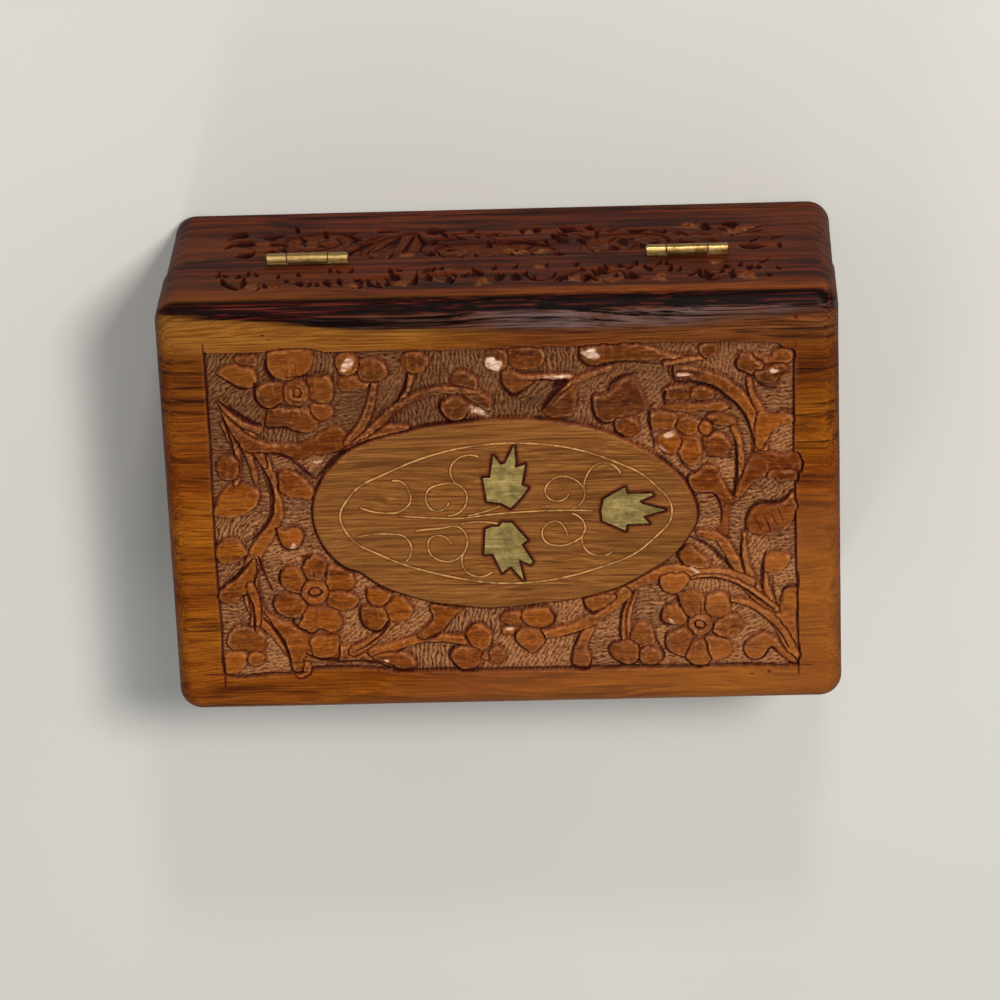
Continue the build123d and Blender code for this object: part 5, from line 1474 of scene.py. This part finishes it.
def carved_wall(name, flat_half, face, inner_path, arc_end, z_low, z_high, tall, side, turn):
    """One wall as a closed mesh. Its local frame has u along the wall and n outwards from the box."""
    relief = wall_relief(flat_half, z_low, z_high, tall, side)
    levels = relief.v[::BLOCK]
    rim_z, floor_z = (z_high, z_high - LEAF) if tall else (z_low, z_low + LEAF)
    rim_row = relief.blocks[1] - 1 if tall else 0
    reach = HINGE_LENGTH / 2 + MORTISE_PLAY
    mortises = [(x - reach, x + reach) for x in (-HINGE_X, HINGE_X)] if side == "back" else []
    middles = (relief.u[::BLOCK][1:] + relief.u[::BLOCK][:-1]) / 2
    left_out = {(i, rim_row) for i, u in enumerate(middles) for low, high in mortises if low < u < high}

    patch = Patchwork()
    lattice = np.stack([relief.x, face + relief.height, relief.y], -1).reshape(-1, 3)
    patch.add(*used_points(lattice, sheet_faces(relief, left_out), relief.worked()))

    turns = np.linspace(0, arc_end, 7)
    arc = np.stack([flat_half + CORNER * np.sin(turns), face - CORNER + CORNER * np.cos(turns)], -1)
    mirrored = arc[::-1] * (-1, 1)
    around = np.vstack([arc, inner_path, np.array(inner_path)[::-1] * (-1, 1), mirrored])
    patch.grid([[(u, n, z) for z in levels] for u, n in around])

    flat = [(u, face) for u in relief.u[::BLOCK]]
    for z in (z_low, z_high):
        outline = flat
        if z == rim_z:
            outline = [p for p in flat if not any(low < p[0] < high for low, high in mortises)]
            for low, high in mortises:
                after = outline.index((low, face)) + 1
                outline[after:after] = [(low, MORTISE_FACE), (high, MORTISE_FACE)]
        patch.polygon([(u, n, z) for u, n in list(outline) + [tuple(p) for p in around[1:-1]]])
    for low, high in mortises:
        around_mortise = [(low, face), (low, MORTISE_FACE), (high, MORTISE_FACE), (high, face)]
        floor = [p for p in flat if low <= p[0] <= high] + around_mortise[2:0:-1]
        patch.polygon([(*p, floor_z) for p in floor])
        for a, b in zip(around_mortise, around_mortise[1:]):
            patch.polygon([(*a, rim_z), (*b, rim_z), (*b, floor_z), (*a, floor_z)])
    cos, sin = round(math.cos(turn)), round(math.sin(turn))
    for points in patch.points:
        u, n = points[:, 0].copy(), points[:, 1].copy()
        points[:, 0], points[:, 1] = cos * u - sin * n, sin * u + cos * n
    return patch.finish(name, shift=worn)


def carved_walls():
    """The eight walls, each standing for its CAD node and riding on its body."""
    for body, inset, z_low, z_high, tall in (
        ("base", BASE_INSET, BOTTOM_BOARD, BASE_RIM, True),
        ("lid", 0.0, LID_RIM, BOX_HEIGHT - TOP_BOARD, False),
    ):
        half_width, half_depth = BOX_WIDTH / 2 - inset, BOX_DEPTH / 2 - inset
        lip = half_depth - CORNER_LIP
        rabbet = half_width - WALL
        long_path = [(rabbet, lip), (rabbet, half_depth - WALL)]
        long_arc = math.acos((CORNER - CORNER_LIP) / CORNER)
        short_path = [(lip, rabbet)]
        short_arc = math.asin((CORNER - CORNER_LIP) / CORNER)
        for side, turn in (("back", 0), ("left", 0.5), ("front", 1), ("right", 1.5)):
            if side in ("back", "front"):
                shape = (half_width - CORNER, half_depth, long_path, long_arc)
            else:
                shape = (half_depth - CORNER, half_width, short_path, short_arc)
            piece = carved_wall(
                f"carved_{body}_{side}_wall", *shape, z_low, z_high, tall, side, turn * math.pi
            )
            smooth_by_angle(piece)
            along = "X" if side in ("back", "front") else "Y"
            piece.data.materials.append(WOOD[along])
            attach(piece, body)
            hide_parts(f"{body}_{side}_wall")

# ---------------------------------------------------------------- pieces

def dress(piece, material):
    piece.data.materials.clear()
    piece.data.materials.append(material)


PILE_CELLS = 90
PILE_TURN, PILE_TURN_WIDTH, PILE_SWELL = 0.55, 0.7, 0.25  # the pad's edge turned over, and its unevenness


def lining(node, body, facing):
    """Velvet glued on card: a thin pad with turned-over edges and a slightly uneven pile."""
    low, high = (Vector(corner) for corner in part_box(node))
    mesh = bpy.data.meshes.new("velvet_" + node)
    piece = bpy.data.objects.new("velvet_" + node, mesh)
    bpy.context.scene.collection.objects.link(piece)
    work = bmesh.new()
    bmesh.ops.create_cube(work, size=1)
    for vertex in work.verts:
        vertex.co = [low[k] if vertex.co[k] < 0 else high[k] for k in range(3)]
    long_edges = [e for e in work.edges if (e.verts[0].co - e.verts[1].co).length > 0.01]
    bmesh.ops.subdivide_edges(work, edges=long_edges, cuts=PILE_CELLS, use_grid_fill=True)
    spread = Vector((high.x - low.x, high.y - low.y)) / 2
    middle = (low + high) / 2
    pile = high.z if facing > 0 else low.z
    for vertex in work.verts:
        if abs(vertex.co.z - pile) > 1e-6:
            continue
        edge = min(spread.x - abs(vertex.co.x - middle.x), spread.y - abs(vertex.co.y - middle.y)) / MM
        turned = PILE_TURN * math.exp(-edge / PILE_TURN_WIDTH)
        cloud = float(value_noise(np.array(vertex.co.x / MM), np.array(vertex.co.y / MM), 6, 51))
        uneven = PILE_SWELL * cloud * (1 - math.exp(-edge / 2))
        vertex.co.z -= facing * (turned + uneven) * MM
    bmesh.ops.recalc_face_normals(work, faces=work.faces)
    work.to_mesh(mesh)
    work.free()
    smooth_by_angle(piece, 50)
    dress(piece, VELVET)
    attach(piece, body)
    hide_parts(node)


board = lid_board()
smooth_by_angle(board)
dress(board, WOOD["X"])
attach(board, "lid")
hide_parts("lid_top_board")
carved_walls()
lining("base_floor_lining", "base", 1)
lining("lid_lining", "lid", -1)

for node_name, node_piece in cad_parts.items():
    if node_name.startswith("inlay_leaf"):
        dress(node_piece, SHEET_BRASS)
    elif node_name.startswith("inlay_"):
        dress(node_piece, WIRE_BRASS)
    elif node_name.startswith("hinge_"):
        dress(node_piece, GAP_SHADE_PIN_BRASS if node_name.endswith("pin") else HINGE_BRASS)
    elif node_name == "base_bottom_board":
        dress(node_piece, WOOD["X"])

# ---------------------------------------------------------------- floor, light and camera

PALE = srgb(214, 212, 206)
FLOOR_SIZE = 8.0


def shown_rays(tree):
    """1 for a ray that shows the background: straight from the camera, or by way of gloss or glass."""
    path = tree.nodes.new("ShaderNodeLightPath")
    shown = path.outputs["Is Camera Ray"]
    for kind in ("Is Glossy Ray", "Is Transmission Ray"):
        either = tree.nodes.new("ShaderNodeMath")
        either.operation = "MAXIMUM"
        tree.links.new(shown, either.inputs[0])
        tree.links.new(path.outputs[kind], either.inputs[1])
        shown = either.outputs[0]
    return shown


def pale_floor():
    """A plain matt floor, which far from the box has the background's colour, so that no horizon shows."""
    n = Nodes("pale_floor")
    colour = n.noise(n.place, 6, 3).ramp((0.0, (204, 202, 196)), (1.0, (216, 214, 208)))
    away = n.add("ShaderNodeVectorMath", n.place, operation="LENGTH") / (FLOOR_SIZE / 2)
    far = away.ramp((0.12, 0.0), (0.3, 1.0)) * Value(n, shown_rays(n.tree))
    near_floor = Value(n, n.principled.outputs[0])
    mixed = n.add("ShaderNodeMixShader", far, near_floor, n.add("ShaderNodeEmission", PALE, 1.0))
    n.put(n.tree.nodes["Material Output"].inputs[0], mixed)
    return n.surface(Base_Color=colour, Roughness=0.85, Specular_IOR_Level=0.2)


bpy.ops.mesh.primitive_plane_add(size=FLOOR_SIZE)
floor = bpy.context.object
floor.name = "floor"
dress(floor, pale_floor())


def area_light(name, direction, distance, size, watts, colour):
    """A square lamp at a direction from the box, facing it."""
    data = bpy.data.lights.new(name, "AREA")
    data.size, data.energy, data.color = size, watts, colour
    lamp = bpy.data.objects.new(name, data)
    lamp.location = Vector(direction).normalized() * distance + Vector((0, 0, BOX_HEIGHT * MM))
    lamp.rotation_euler = Vector(direction).to_track_quat("Z", "Y").to_euler()
    bpy.context.scene.collection.objects.link(lamp)


area_light("key_light", (0.34, 0.44, 0.84), 1.6, 0.32, 19.3, (1.0, 0.97, 0.93))
area_light("rim_light", (0.10, 0.84, 0.56), 1.5, 0.16, 4.6, (1.0, 0.98, 0.96))
area_light("fill_light", (-0.30, -0.72, 0.62), 1.5, 0.3, 2, (1.0, 0.98, 0.96))
area_light("glint_light", (-0.25, -0.60, 0.76), 1.4, 0.06, 0.4, (1.0, 0.98, 0.96))

world = bpy.data.worlds.new("soft_room")
world.use_nodes = True
bpy.context.scene.world = world
tree = world.node_tree
pale, choice = tree.nodes.new("ShaderNodeBackground"), tree.nodes.new("ShaderNodeMixShader")
fill = tree.nodes["Background"]
fill.inputs[0].default_value, fill.inputs[1].default_value = (0.95, 0.97, 1.0, 1.0), 0.34
pale.inputs[0].default_value, pale.inputs[1].default_value = PALE, 1.0
tree.links.new(shown_rays(tree), choice.inputs[0])
tree.links.new(fill.outputs[0], choice.inputs[1])
tree.links.new(pale.outputs[0], choice.inputs[2])
tree.links.new(choice.outputs[0], tree.nodes["World Output"].inputs[0])

LENS_MM = 174.5
VIEW_DISTANCE, VIEW_SHIFT_X, VIEW_SHIFT_Y = 1093.29, 0.56, -1.56
ROLL, PITCH, YAW = 2.298, 24.351, -2.474

camera_data = bpy.data.cameras.new("camera")
camera_data.lens = LENS_MM
camera = bpy.data.objects.new("camera", camera_data)
bpy.context.scene.collection.objects.link(camera)
to_camera = (
    Matrix.Rotation(math.radians(ROLL), 3, "Z")
    @ Matrix.Rotation(math.radians(PITCH), 3, "X")
    @ Matrix.Rotation(math.radians(YAW), 3, "Y")
)
to_world = to_camera.transposed()
seen_from = Vector((0, 0, BOX_HEIGHT)) - to_world @ Vector((VIEW_SHIFT_X, VIEW_SHIFT_Y, -VIEW_DISTANCE))
camera.matrix_world = Matrix.Translation(seen_from * MM) @ to_world.to_4x4()
bpy.context.scene.camera = camera
bpy.context.scene.view_settings.view_transform = "Standard"
